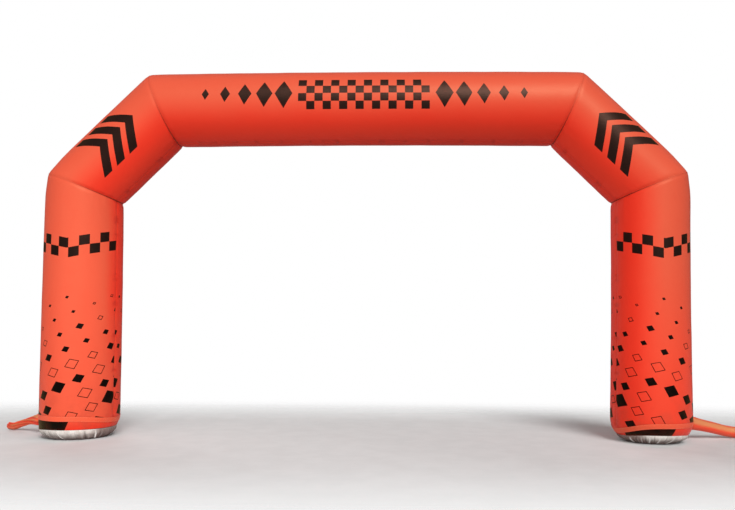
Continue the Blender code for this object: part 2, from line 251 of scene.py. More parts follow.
TURN = 2.0 * math.pi
HALF_GIRTH = math.pi * TUBE_RADIUS
FRONT_TURN = math.pi / 2.0 - math.radians(LONG_SEAM_DEG)  # from the long seam to the front
X_AXIS = np.array((1.0, 0.0, 0.0))
Y_AXIS = np.array((0.0, 1.0, 0.0))
Z_AXIS = np.array((0.0, 0.0, 1.0))


# ---- what a user may change ----


class ArchSizes(bpy.types.PropertyGroup):
    """Sizes of the cloth's detail."""

    tube_columns: IntProperty(name="Columns", description="Points round a tube", default=240)
    ring_step: FloatProperty(
        name="Ring step", description="Mean step of a tube's rings", default=0.014, unit="LENGTH"
    )
    seam_dip: FloatProperty(
        name="Seam dip", description="Depth of the long seams", default=0.0052, unit="LENGTH"
    )
    seam_pucker: FloatProperty(
        name="Seam pucker", description="Depth of the seams' puckers", default=0.003, unit="LENGTH"
    )
    crotch_fold: FloatProperty(
        name="Crotch fold", description="Depth of the inner folds", default=0.007, unit="LENGTH"
    )
    foot_fold: FloatProperty(
        name="Foot fold", description="Depth of the feet's folds", default=0.0045, unit="LENGTH"
    )
    foot_slack: FloatProperty(
        name="Foot slack", description="Share by which a foot's cloth is too long", default=0.05
    )
    foot_travel: FloatProperty(
        name="Foot travel", description="Reach of the air in a foot", default=0.007, unit="LENGTH"
    )
    hem_width: FloatProperty(
        name="Hem", description="Width of a sleeve's hem", default=0.025, unit="LENGTH"
    )
    cloth_thickness: FloatProperty(
        name="Cloth", description="Thickness of the sleeve cloth", default=0.0014, unit="LENGTH"
    )
    stitch_length: FloatProperty(
        name="Stitch", description="Length of one stitch", default=0.005, unit="LENGTH"
    )
    thread_spacing: FloatProperty(
        name="Threads", description="Distance of the cloth's threads", default=0.0012, unit="LENGTH"
    )


class ArchColours(bpy.types.PropertyGroup):
    """Colours of the cloths, the print and the tape."""

    cloth: FloatVectorProperty(
        name="Cloth", description="Tube cloth", default=(0.69, 0.030, 0.014), subtype="COLOR"
    )
    # Painted light: the lighter, more orange tone that the cloth takes where it faces the light.
    cloth_lit: FloatVectorProperty(
        name="Lit cloth", description="Painted_lit_tone", default=(0.58, 0.076, 0.037), subtype="COLOR"
    )
    ink: FloatVectorProperty(
        name="Print", description="Printed motifs", default=(0.034, 0.015, 0.012), subtype="COLOR"
    )
    tape: FloatVectorProperty(
        name="Tape", description="Woven tape", default=(0.73, 0.098, 0.045), subtype="COLOR"
    )
    foot: FloatVectorProperty(
        name="Foot", description="Foot cloth", default=(0.84, 0.79, 0.73), subtype="COLOR"
    )
    # Painted light: the sleeves' lighter tone where they face up, over a painted shade tone below.
    sleeve: FloatVectorProperty(
        name="Sleeve", description="Sleeve cloth", default=(0.55, 0.185, 0.074), subtype="COLOR"
    )
    floor: FloatVectorProperty(
        name="Floor", description="Floor", default=(0.66, 0.66, 0.655), subtype="COLOR"
    )


# ---- small helpers ----


def bell(distance, reach):
    return np.exp(-((distance / reach) ** 2))


def soft_step(low, high, value):
    share = np.clip((value - low) / (high - low), 0.0, 1.0)
    return share * share * (3.0 - 2.0 * share)


def paired(first, second):
    """Two arrays in the shape that they share."""
    return first + 0.0 * second, second + 0.0 * first


def graded(count, ease):
    """Shares from 0 to 1, closer together at both ends."""
    even = np.linspace(0.0, 1.0, count)
    return even - ease * np.sin(TURN * even) / TURN


def waves(position, length, shift):
    """Uneven ripples along a line, from -1 to 1."""
    k = TURN / length
    return (
        0.5 * np.sin(k * position + shift)
        + 0.3 * np.sin(1.63 * k * position + 2.1 * shift + 0.9)
        + 0.2 * np.sin(2.71 * k * position + 3.3 * shift + 2.1)
    )


def ring_waves(turn, count, shift):
    """Uneven ripples round a tube, from -1 to 1."""
    return (
        0.5 * np.cos(count * turn + shift)
        + 0.3 * np.cos(round(1.6 * count) * turn + 1.7 * shift + 0.6)
        + 0.2 * np.cos(round(0.7 * count) * turn + 2.9 * shift + 1.9)
    )


def unit(vector):
    return vector / np.linalg.norm(vector)


def bisector(before, joint, after):
    return unit(unit(joint - before) + unit(after - joint))


# ---- meshes ----


def add_piece(name, points, faces, maps, material, nodes):
    """A mesh piece that rides on the arch and stands for CAD nodes. maps: name to loop UVs."""
    mesh = bpy.data.meshes.new(name)
    mesh.from_pydata(points, [], faces)
    for map_name, values in maps.items():
        layer = mesh.uv_layers.new(name=map_name)
        layer.data.foreach_set("uv", np.asarray(values, dtype=np.float32).ravel())
    mesh.shade_smooth()
    mesh.set_sharp_from_angle(angle=math.radians(60.0))
    mesh.materials.append(material)
    piece = bpy.data.objects.new(name, mesh)
    bpy.context.scene.collection.objects.link(piece)
    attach(piece, "root")
    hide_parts(*nodes)
    return piece


class Skin:
    """Rings of points that make a closed form, with flat maps that follow the cloth."""

    def __init__(self, grid, maps, flip=False):
        """grid is rings by columns by 3; each map is rings by columns + 1 by 2."""
        self.rings, self.columns = grid.shape[:2]
        self.points = [tuple(p) for p in grid.reshape(-1, 3)]
        self.maps = {name: [] for name in maps}
        self.faces = []
        self.flip = flip
        ring = np.arange(self.rings - 1)[:, None]
        column = np.arange(self.columns)[None, :]
        after = (column + 1) % self.columns
        corners = [
            (ring, column, column),
            (ring, after, column + 1),
            (ring + 1, after, column + 1),
            (ring + 1, column, column),
        ]
        if flip:
            corners = corners[::-1]
        quads = [row * self.columns + place + 0 * ring * column for row, place, _ in corners]
        self.faces += np.stack(quads, axis=-1).reshape(-1, 4).tolist()
        for name, values in maps.items():
            loops = [
                values[row + 0 * column, place + 0 * ring] for row, _, place in corners
            ]
            self.maps[name].append(np.stack(loops, axis=2).reshape(-1, 2))

    def close(self, ring, centre, facing_start):
        """A fan from a centre to the first or last ring."""
        middle = len(self.points)
        self.points.append(tuple(centre))
        first = ring * self.columns
        for column in range(self.columns):
            a = first + column
            b = first + (column + 1) % self.columns
            self.faces.append((middle, b, a) if facing_start != self.flip else (middle, a, b))
        for name in self.maps:
            self.maps[name].append(np.full((3 * self.columns, 2), 9.0))

    def piece(self, name, material, slot, nodes):
        maps = {key: np.concatenate(parts) for key, parts in self.maps.items()}
        return add_piece(name, self.points, self.faces, maps, material, nodes)


# ---- the tubes ----


def mitre_draw(angle, distance, rounding):
    outside = np.maximum(0.0, np.cos(angle)) ** ROUNDING_SHARPNESS
    inside = np.maximum(0.0, -np.cos(angle))
    dip = (MITRE_DIP + CROTCH_DIP * inside) * bell(distance, MITRE_DIP_REACH)
    return dip + rounding * outside * bell(distance, ROUNDING_REACH)


def from_long_seam(turn):
    """Distance round the tube from its lengthwise seam, negative on the other side."""
    return np.where(turn > math.pi, turn - TURN, turn) * TUBE_RADIUS


def long_seam_draw(turn, distance, strength, shift, sizes):
    """The dip of a lengthwise seam, and the puckers that its thread pulls beside it."""
    across = from_long_seam(turn)
    pucker = np.sin(TURN * distance / LONG_DIP_STEP)
    dip = sizes.seam_dip * strength * (1.0 + LONG_DIP_SHARE * pucker)
    dip = dip * bell(across, LONG_SEAM_REACH)
    away = np.abs(across)
    beside = np.exp(-away / LONG_PUCKER_REACH) * (1.0 - np.exp(-away / SEAM_STRIP))
    stagger = np.where(across > 0.0, LONG_PUCKER_STAGGER, 0.0)
    fold = 0.5 + 0.5 * waves(distance + LONG_PUCKER_SLANT * away + stagger, LONG_PUCKER_STEP, shift)
    lull = 0.55 + 0.45 * waves(distance, LONG_LULL, shift + 1.0)
    return dip + LONG_PUCKER_GAIN * sizes.seam_pucker * strength * beside * fold * lull


def mitre_puckers(turn, angle, distance, shift, sizes):
    """Puckers that a mitred seam's thread pulls, with deeper folds at the inner corner."""
    near = 1.0 - np.exp(-distance / SEAM_STRIP)
    inside = np.maximum(0.0, -np.cos(angle))
    small = 0.5 + 0.5 * ring_waves(turn, MITRE_PUCKERS, shift)
    small = small * np.exp(-distance / MITRE_PUCKER_REACH)
    lull = 0.6 + 0.4 * ring_waves(turn, 5, shift + 0.7)
    small = sizes.seam_pucker * small * lull * near
    fold = 0.5 + 0.5 * ring_waves(turn, CROTCH_FOLDS, 1.3 * shift)
    fold = fold * np.exp(-distance / CROTCH_FOLD_REACH)
    return small + sizes.crotch_fold * inside**CROTCH_FOLD_POWER * fold * near


def slack(turn, distance, shift):
    """The slight unevenness of cloth under air."""
    broad = waves(distance + 0.21 * np.cos(turn + shift), SLACK_LENGTH, shift)
    drawn = ring_waves(turn, SLACK_PLEATS, shift + 0.15 * distance)
    return SLACK_DEPTH * broad + SLACK_PLEAT_DEPTH * drawn


def flat_maps(turn, along, stretch, off):
    """Cloth map: metres round from the front and along. Seam map: along a seam and off it."""
    cloth = np.stack([(turn - FRONT_TURN) * TUBE_RADIUS, along], axis=-1)
    seam = np.stack([turn * TUBE_RADIUS * stretch, off], axis=-1)
    return {"cloth": cloth, "seam": seam}


class Tube:
    """A tube between two mitre planes, arched up by bow."""

    flip = False

    def __init__(self, start, end, cuts, rounding, bow, shift):
        self.along = unit(end - start)
        self.length = float(np.linalg.norm(end - start))
        self.middle = (start + end) / 2.0
        self.outward = np.cross(self.along, Y_AXIS)
        self.cuts = cuts
        self.rounding = rounding
        self.bow = bow
        self.shift = shift
        self.start = start + self.along * (GAP / 2.0 / (self.along @ cuts[0]))
        self.end = end - self.along * (GAP / 2.0 / (self.along @ cuts[1]))

    def angle(self, turn):
        return math.pi - math.radians(LONG_SEAM_DEG) - turn

    def grid(self, turn, s, sizes):
        """Points of the skin, with s from one mitre to the other."""
        angle = self.angle(turn)
        reach = (TUBE_RADIUS - self.draw(turn, s, sizes))[..., None]
        offset = reach * (
            self.outward * np.cos(angle)[..., None] - Y_AXIS * np.sin(angle)[..., None]
        )
        ends = []
        for joint, cut in zip((self.start, self.end), self.cuts):
            slide = (offset @ cut) / (self.along @ cut)
            ends.append(joint + offset - self.along * slide[..., None])
        lift = self.bow * 4.0 * s * (1.0 - s)
        return ends[0] + (ends[1] - ends[0]) * s[..., None] + Z_AXIS * lift[..., None]

    def draw(self, turn, s, sizes):
        angle = self.angle(turn)
        near, far = s * self.length, (1.0 - s) * self.length
        draw = mitre_draw(angle, near, self.rounding[0]) + mitre_draw(angle, far, self.rounding[1])
        draw = draw + long_seam_draw(turn, near, 0.5, self.shift, sizes)
        draw = draw + mitre_puckers(turn, angle, near, self.shift, sizes)
        draw = draw + mitre_puckers(turn, angle, far, self.shift + 2.0, sizes)
        fade = soft_step(0.0, END_FADE, np.minimum(near, far))
        return draw + fade * slack(turn, near, self.shift)

    def flat_maps(self, turn, grid):
        off = []
        for joint, cut in zip((self.start, self.end), self.cuts):
            off.append(np.abs((grid - joint) @ cut) / (self.along @ cut))
        along = (grid - self.middle) @ self.along
        return flat_maps(turn, along, MITRE_STRETCH, np.minimum(*off))

    def start_centre(self, grid):
        return grid[0, :-1].mean(axis=0)


class Leg:
    """A leg from its tape up to the elbow; below it, the base band down to the foot's seam."""

    def __init__(self, word):
        vars(self).update(LEGS[word])
        self.word = word
        self.flip = self.side < 0
        elbow = np.array((self.side * ELBOW_X, 0.0, ELBOW_Z))
        foot = np.array((self.side * self.foot_x, 0.0, 0.0))
        corner = np.array((self.side * CORNER_X, 0.0, CORNER_Z))
        self.along = (elbow - foot) / ELBOW_Z
        self.cut = bisector(foot, elbow, corner)
        self.top = elbow - self.along * (GAP / 2.0 / (self.along @ self.cut))
        self.length = ELBOW_Z - self.end_z

    def angle(self, turn):
        return math.pi + math.radians(LONG_SEAM_DEG) + turn

    def seam_height(self, angle):
        outside = np.maximum(0.0, np.cos(angle)) ** SEAM_DROP_POWER
        inside = np.maximum(0.0, -np.cos(angle)) ** SEAM_DROP_POWER
        return self.seam_z - self.seam_drop_out * outside - self.seam_drop_in * inside

    def end_height(self, angle):
        """Height of the tape's middle, where leg and base band meet."""
        inside = np.maximum(0.0, -np.cos(angle)) ** END_DROP_POWER
        return self.end_z - self.end_drop_in * inside

    def end_centre(self, lift):
        z = self.end_z - END_CENTRE_SHARE * self.end_drop_in
        x = self.centre_x(np.float64(math.pi / 2.0), np.float64(z))
        return float(x), 0.0, z + lift

    def start_centre(self, grid):
        return self.end_centre(END_GAP / 2.0)

    def draw_in(self, angle, z):
        seam_z = self.seam_height(angle)
        fade = (DRAW_TOP_Z - np.maximum(z, seam_z)) / (DRAW_TOP_Z - seam_z)
        return np.maximum(0.0, fade) ** DRAW_POWER

    def centre_x(self, angle, z):
        plain = self.foot_x + (ELBOW_X - self.foot_x) * z / ELBOW_Z
        return self.side * (plain + self.outward_shift * self.draw_in(angle, z))

    def radius(self, angle, z):
        return TUBE_RADIUS - (TUBE_RADIUS - self.seam_radius) * self.draw_in(angle, z)

    def point(self, angle, z, draw):
        radius = self.radius(angle, z) - draw
        x = self.centre_x(angle, z) + self.side * radius * np.cos(angle)
        return np.stack([x, radius * np.sin(angle), z + 0.0 * x], axis=-1)

    def foot_centre_x(self):
        return float(self.centre_x(np.float64(math.pi / 2.0), np.float64(self.seam_z)))

    def grid(self, turn, s, sizes):
        """Points of the skin, with s from the tape's middle to the mitre."""
        angle, draw = self.angle(turn), self.draw(turn, s, sizes)
        reach = (TUBE_RADIUS - draw)[..., None]
        offset = reach * (
            X_AXIS * self.side * np.cos(angle)[..., None] + Y_AXIS * np.sin(angle)[..., None]
        )
        slide = (offset @ self.cut) / (self.along @ self.cut)
        top_z = (self.top + offset - self.along * slide[..., None])[..., 2]
        low_z = self.end_height(angle) + END_GAP / 2.0
        return self.point(angle, low_z + (top_z - low_z) * s, draw)

    def draw(self, turn, s, sizes):
        angle = self.angle(turn)
        down = (1.0 - s) * self.length
        up = s * self.length
        draw = long_seam_draw(turn, down, self.pucker, self.shift, sizes)
        draw = draw * soft_step(0.0, 0.06, up)
        draw = draw + mitre_draw(angle, down, ELBOW_ROUNDING)
        draw = draw - self.belly * np.sin(math.pi * s)
        draw = draw + mitre_puckers(turn, angle, down, self.shift, sizes)
        fade = soft_step(0.0, END_FADE, down) * soft_step(0.03, 0.15, up)
        return draw + fade * slack(turn, down, self.shift)

    def flat_maps(self, turn, grid):
        off = np.abs((grid - self.top) @ self.cut) / (self.along @ self.cut)
        return flat_maps(turn, grid[..., 2], 1.0, off)


def wrapped(columns):
    """Turns round a tube from its lengthwise seam, the last one back at the seam."""
    return TURN * graded(columns + 1, 0.5)[None, :]


def dress_tube(tube, node, material, sizes):
    """A shoulder, the beam or a leg, closed at both ends."""
    rings = round(tube.length / sizes.ring_step)
    turn, s = paired(wrapped(sizes.tube_columns), graded(rings, 0.55)[:, None])
    grid = tube.grid(turn, s, sizes)
    skin = Skin(grid[:, :-1], tube.flat_maps(turn, grid), flip=tube.flip)
    skin.close(0, tube.start_centre(grid), True)
    skin.close(rings - 1, grid[-1, :-1].mean(axis=0), False)
    piece = skin.piece(f"{node}_cloth", material, "arch_cloth", [node])


def dress_base(leg, node, material, sizes):
    """The band under the tape, with a rolled edge at the foot's seam."""
    turn, s = paired(wrapped(sizes.tube_columns), np.linspace(0.0, 1.0, BASE_RINGS)[:, None])
    angle = leg.angle(turn)
    low = leg.seam_height(angle) + FOOT_SEAM_GAP / 2.0
    top = leg.end_height(angle) - END_GAP / 2.0
    z = low + (top - low) * s
    up = z - low
    gather = 0.5 + 0.5 * ring_waves(turn, BASE_GATHERS, leg.shift)
    draw = BASE_GATHER * gather * np.exp(-up / BASE_GATHER_REACH) * soft_step(0.0, 0.008, up)
    draw = draw - BASE_ROLL * bell(up - BASE_ROLL_REACH, BASE_ROLL_REACH)
    grid = leg.point(angle, z, draw)
    skin = Skin(grid[:, :-1], flat_maps(turn, grid[..., 2], 1.0, up), flip=leg.flip)
    skin.close(0, (leg.foot_centre_x(), 0.0, leg.seam_z + FOOT_SEAM_GAP / 2.0), True)
    skin.close(BASE_RINGS - 1, leg.end_centre(-END_GAP / 2.0), False)
    piece = skin.piece(f"{node}_cloth", material, "arch_cloth", [node])


def dress_foot(leg, node, material, sizes):
    """The gathered cap under the leg: folds from the seam to its flat on the ground."""
    turns = np.linspace(0.0, TURN, FOOT_COLUMNS + 1)[None, :]
    turn, step = paired(turns, np.linspace(0.0, 1.0, FOOT_STEPS + 1)[:, None])
    angle = leg.angle(turn)
    fall = 0.5 * math.pi * (1.0 - step)
    rise = np.cos(fall) ** FOOT_SLOPE
    contact, shift = leg.contact_radius, leg.contact_shift
    spread = contact + (leg.seam_radius - contact) * rise
    pleat = np.cos(FOOT_GATHERS * angle) * (0.7 + 0.3 * np.sin(3.0 * angle + 1.0))
    spread = spread + FOOT_GATHER * pleat * np.sin(math.pi * step)
    swell = np.sin(math.pi * step) ** 0.7
    drift = 0.35 * np.sin(3.0 * turn + leg.shift) * step
    small = ring_waves(turn + drift / 12.0, FOOT_SMALL_FOLDS, leg.shift)
    small = small * (0.55 + 0.45 * ring_waves(turn, 6, 1.0))
    spread = spread + sizes.foot_fold * small * swell
    sag = waves(step + 0.05 * ring_waves(turn, 11, 2.0), FOOT_SAG_LENGTH, leg.shift)
    spread = spread + FOOT_SAG * sag * swell
    front = (turn - FRONT_TURN) * TUBE_RADIUS
    trough = 0.0 * step
    for high, low, width, depth in FOOT_CREASES[leg.word]:
        off = front - (low + (high - low) * step)
        ridge = bell(off - 1.7 * width, 1.3 * width) + bell(off + 1.7 * width, 1.3 * width)
        trough = trough + depth * (bell(off, width) - 0.35 * ridge) * swell
    spread = spread - trough
    top = leg.seam_height(angle) - FOOT_SEAM_GAP / 2.0
    z = top * (1.0 - np.sin(fall))
    middle = leg.foot_centre_x()
    x = middle + leg.side * (spread * np.cos(angle) + shift * (1.0 - rise))
    grid = np.stack([x, spread * np.sin(angle), z], axis=-1)
    maps = flat_maps(turn, z, 1.0, top - z)
    maps["fold"] = np.stack([trough / 0.010, step], axis=-1)
    skin = Skin(grid[:, :-1], maps, flip=leg.flip)
    skin.close(0, (middle + leg.side * shift, 0.0, 0.0), True)
    skin.close(FOOT_STEPS, (middle, 0.0, leg.seam_z - FOOT_SEAM_GAP / 2.0), False)
    piece = skin.piece(f"{node}_cloth", material, "foot_cloth", [node])
    return piece


def fill_with_air(pieces, sizes):
    """Lets the air settle the slack cloth of the feet, which stays held at seam and ground."""
    ends = 2 * FOOT_COLUMNS
    for piece in pieces:
        count = len(piece.data.vertices)
        held = [*range(ends), *range(count - ends - 2, count)]
        piece.vertex_groups.new(name="held").add(held, 1.0, "REPLACE")
        cloth = piece.modifiers.new("air", "CLOTH").settings
        cloth.quality = 6
        cloth.mass = 0.3
        cloth.bending_stiffness = 0.4
        cloth.vertex_group_mass = "held"
        cloth.shrink_min = -sizes.foot_slack
        cloth.use_pressure = True
        cloth.uniform_pressure_force = FOOT_PRESSURE
        cloth.effector_weights.gravity = 0.0
    scene = bpy.context.scene
    for frame_number in range(1, AIR_FRAMES + 1):
        scene.frame_set(frame_number)
    graph = bpy.context.evaluated_depsgraph_get()
    for piece in pieces:
        before, after = points_of(piece.data), points_of(piece.evaluated_get(graph).data)
        length = np.linalg.norm(after - before, axis=1, keepdims=True)
        move = (after - before) * np.minimum(1.0, sizes.foot_travel / np.maximum(length, 1e-9))
        settled = before + move
        settled[:, 2] = np.maximum(settled[:, 2], 0.0)
        piece.modifiers.clear()
        piece.vertex_groups.clear()
        piece.data.vertices.foreach_set("co", settled.astype(np.float32).ravel())
        piece.data.update()
    scene.frame_set(1)


def points_of(mesh):
    """A mesh's points as an array of rows."""
    values = np.empty(3 * len(mesh.vertices), dtype=np.float32)
    mesh.vertices.foreach_get("co", values)
    return values.reshape(-1, 3).astype(float)


def dress_tape(leg, node, material):
    """A woven band around the leg, open where the sleeve leaves it."""
    open_to = math.radians(leg.sleeve_azimuth + TAPE_OPENING_DEG)
    open_from = math.radians(leg.sleeve_azimuth - TAPE_OPENING_DEG) + TURN
    angle = np.linspace(open_to, open_from, TAPE_STEPS + 1)[:, None]
    half = TAPE_WIDTH / 2.0
    across = np.linspace(-1.0, 1.0, 9)
    level = np.concatenate([across, across[::-1]])[None, :]
    out = np.repeat((1.0, 0.0), len(across))[None, :]
    angle, level = paired(angle, level)
    wander = TAPE_WANDER * ring_waves(angle, 7, leg.shift)
    lift = TAPE_LIFT * (0.5 + 0.5 * ring_waves(angle, 26, leg.shift)) * (1.0 - 0.5 * level**2)
    edge = TAPE_EDGE_LIFT * bell(np.abs(level) - 0.9, 0.12)
    stand_off = TAPE_CLEARANCE + lift + (TAPE_THICKNESS + edge) * out
    z = leg.end_height(angle) + half * level + wander
    grid = leg.point(angle, z, -stand_off)
    flat = np.stack([angle * TUBE_RADIUS, half * level + 0.1 * (1.0 - out)], axis=-1)
    flat = np.concatenate([flat, flat[:, :1]], axis=1)
    skin = Skin(grid, {"cloth": flat}, flip=not leg.flip)
    skin.close(0, grid[0].mean(axis=0), True)
    skin.close(TAPE_STEPS, grid[-1].mean(axis=0), False)
    piece = skin.piece(f"{node}_band", material, "tape", [node])


# ---- the air sleeves ----


def smooth_rows(rows, steps):
    """Rows between the given ones, on a smooth curve through them."""
    rows = np.array(rows)
    dense = []
    last = len(rows) - 1
    for k in range(last):
        a, b, c, d = rows[max(k - 1, 0)], rows[k], rows[k + 1], rows[min(k + 2, last)]
        slope_b, slope_c, change = (c - a) / 2.0, (d - b) / 2.0, c - b
        for step in range(steps):
            t = step / steps
            bend = 3.0 * change - 2.0 * slope_b - slope_c
            turn = slope_b + slope_c - 2.0 * change
            dense.append(b + t * (slope_b + t * (bend + t * turn)))
    dense.append(rows[-1])
    return np.array(dense)


def sleeve_rings(leg, rows, size, inset):
    """Rings square to the sleeve's path, no lower than the ground. size is rings by columns."""
    centres = rows[:, :3] * np.array((leg.side, 1.0, 1.0))
    angle = np.linspace(0.0, TURN, size.shape[1], endpoint=False)
    ahead = np.empty_like(centres)
    ahead[1:-1] = centres[2:] - centres[:-2]
    ahead[0] = centres[1] - centres[0]
    ahead[-1] = centres[-1] - centres[-2]
    across = np.cross(ahead, Z_AXIS)
    across /= np.linalg.norm(across, axis=1, keepdims=True)
    up = np.cross(across, ahead)
    up /= np.linalg.norm(up, axis=1, keepdims=True)
    wide = (rows[:, 3:4] * size - inset) * np.cos(angle)
    high = (rows[:, 4:5] * size - inset) * np.sin(angle)
    grid = centres[:, None] + across[:, None] * wide[..., None] + up[:, None] * high[..., None]
    floor = 0.0005 + inset
    low = grid[..., 2]
    grid[..., 2] = np.where(low < floor, floor + 0.02 * (floor - low), low)
    return grid


def skin_x(leg, y, z):
    """How far out the leg's skin lies at a point of its side."""
    angle = np.arcsin(np.clip(y / TUBE_RADIUS, -1.0, 1.0))
    radius = leg.radius(angle, z) + SLEEVE_CLEARANCE
    return leg.centre_x(angle, z) + leg.side * np.sqrt(np.maximum(radius**2 - y**2, 0.0))


def lay_root(leg, grid):
    """The first ring is laid on the leg's skin, and the next ones ease off it."""
    for k in range(SLEEVE_ROOT_RINGS):
        share = soft_step(0.0, 1.0, 1.0 - k / SLEEVE_ROOT_RINGS)
        skin = skin_x(leg, grid[k, :, 1], grid[k, :, 2])
        outside = np.maximum(leg.side * grid[k, :, 0], leg.side * skin) * leg.side
        grid[k, :, 0] = outside + (skin - outside) * share * (1.0 if k == 0 else 0.35)
    return grid


def add_rings(first, second):
    return np.concatenate([first, second], axis=0)


def path_length(rows):
    """How far along the sleeve's path each ring lies."""
    steps = np.linalg.norm(np.diff(rows[:, :3], axis=0), axis=1)
    return np.concatenate([[0.0], np.cumsum(steps)])


def sleeve_maps(grid, rows):
    """Cloth map of a sleeve: metres round and along. Seam map: metres round and off the mouth."""
    along = path_length(rows)[:, None]
    around = np.linspace(0.0, TURN, grid.shape[1] + 1)[None, :] * SLEEVE_MEAN_RADIUS
    pairs = {"cloth": (around, along), "seam": (around, along[-1] - along)}
    return {key: np.stack(np.broadcast_arrays(*pair), axis=-1) for key, pair in pairs.items()}


def dress_inlet(leg, node, material, sizes):
    """The inflated sleeve, with a hemmed open mouth."""
    rows = smooth_rows(INLET_SECTIONS, SLEEVE_STEPS)
    angle = np.linspace(0.0, TURN, SLEEVE_COLUMNS["inlet"], endpoint=False)[None, :]
    along = path_length(rows)[:, None]
    mouth = along[-1] - along
    gather = (0.5 + 0.5 * ring_waves(angle, 15, 0.8)) * np.exp(-along / 0.07)
    size = 1.0 - INLET_GATHER * gather
    size = size - INLET_FLUTE * (0.5 + 0.5 * ring_waves(angle, 9, 2.0 + 3.0 * along))
    bend = bell(along - INLET_BEND_AT, INLET_BEND_REACH) * np.maximum(0.0, np.sin(angle)) ** 2
    fold = 0.5 + 0.5 * waves(along + 0.01 * np.cos(angle), 0.055, 1.2)
    size = size - INLET_BEND_FOLD * bend * fold
    hem = sizes.hem_width
    size = size + INLET_GATHER * (1.0 - soft_step(hem - 0.002, hem + 0.002, mouth))
    size = size - 0.020 * bell(mouth - hem - 0.004, 0.006)
    outer = lay_root(leg, sleeve_rings(leg, rows, size, 0.0))
    inner = sleeve_rings(leg, rows, size, INLET_WALL)
    last = int(np.searchsorted(rows[:, 0], INLET_HOLLOW_X)) - 1
    grid = add_rings(outer, inner[:last:-1])
    maps = sleeve_maps(outer, rows)
    maps = {key: add_rings(values, values[:last:-1]) for key, values in maps.items()}
    skin = Skin(grid, maps, flip=not leg.flip)
    start = grid[0].mean(axis=0)
    start[0] = skin_x(leg, start[1], start[2])
    skin.close(0, start, True)
    skin.close(len(grid) - 1, grid[-1].mean(axis=0), False)
    piece = skin.piece(f"{node}_cloth", material, "sleeve_cloth", [node])


def dress_outlet(leg, node, material, sizes):
    """The limp sleeve: one thin cloth tube, gathered and wound, open at its end."""
    rows = smooth_rows(OUTLET_SECTIONS, SLEEVE_STEPS)
    angle = np.linspace(0.0, TURN, SLEEVE_COLUMNS["outlet"], endpoint=False)[None, :]
    s = np.linspace(0.0, 1.0, len(rows))[:, None]
    wind = math.radians(OUTLET_WIND_DEG) * s
    depth = OUTLET_FOLD * (0.75 + 0.25 * np.sin(2.0 * angle + 5.0 * s))
    fold = 0.5 - 0.5 * np.cos(OUTLET_FOLDS * (angle + wind))
    deeper = np.minimum(1.0, 0.35 + 2.0 * s)
    size = 1.0 - depth * fold * deeper
    ripple = OUTLET_CREASES * (angle + 1.3 * wind) + 2.0 * np.sin(3.0 * angle + 4.0 * s)
    crease = np.abs(np.sin(0.5 * ripple))
    size = size - OUTLET_CREASE * (1.0 - crease) ** 1.5 * deeper
    small = 0.5 + 0.5 * ring_waves(angle + 0.8 * wind, 31, 1.1 + 4.0 * s)
    size = size - OUTLET_RIPPLE * small * deeper + OUTLET_SWELL
    outer = lay_root(leg, sleeve_rings(leg, rows, size, 0.0))
    inner = sleeve_rings(leg, rows, size, sizes.cloth_thickness)
    inner[:2, :, 0] += leg.side * sizes.cloth_thickness
    grid = add_rings(outer, inner[::-1])
    maps = sleeve_maps(outer, rows)
    ridge = np.concatenate([size, size[:, :1]], axis=1)
    maps["fold"] = np.stack([ridge, 0.0 * ridge], axis=-1)
    for key, values in maps.items():
        maps[key] = np.concatenate([values, values[::-1], values[:1]], axis=0)
    grid = add_rings(grid, grid[:1])
    skin = Skin(grid, maps, flip=not leg.flip)
    piece = skin.piece(f"{node}_cloth", material, "sleeve_cloth", [node])
    weld(piece)


def weld(piece):
    """Joins points that lie on each other."""
    shape = bmesh.new()
    shape.from_mesh(piece.data)
    bmesh.ops.remove_doubles(shape, verts=shape.verts, dist=1e-6)
    shape.to_mesh(piece.data)
    shape.free()


# ---- materials ----


class Value:
    """One socket of a node tree, for sums written as they are read."""

    def __init__(self, kit, socket):
        self.kit = kit
        self.socket = socket

    def maths(self, operation, *others):
        return self.kit.maths(operation, self, *others)

    def __rsub__(self, other):
        return self.kit.maths("SUBTRACT", other, self)

    __add__ = __radd__ = partialmethod(maths, "ADD")
    __sub__ = partialmethod(maths, "SUBTRACT")
    __mul__ = __rmul__ = partialmethod(maths, "MULTIPLY")
    __truediv__ = partialmethod(maths, "DIVIDE")
    __pow__ = partialmethod(maths, "POWER")
    __lt__ = partialmethod(maths, "LESS_THAN")
    __gt__ = partialmethod(maths, "GREATER_THAN")
    __abs__ = partialmethod(maths, "ABSOLUTE")
    fraction = partialmethod(maths, "FRACT")
    floor = partialmethod(maths, "FLOOR")
    sine = partialmethod(maths, "SINE")
    least = partialmethod(maths, "MINIMUM")
    most = partialmethod(maths, "MAXIMUM")


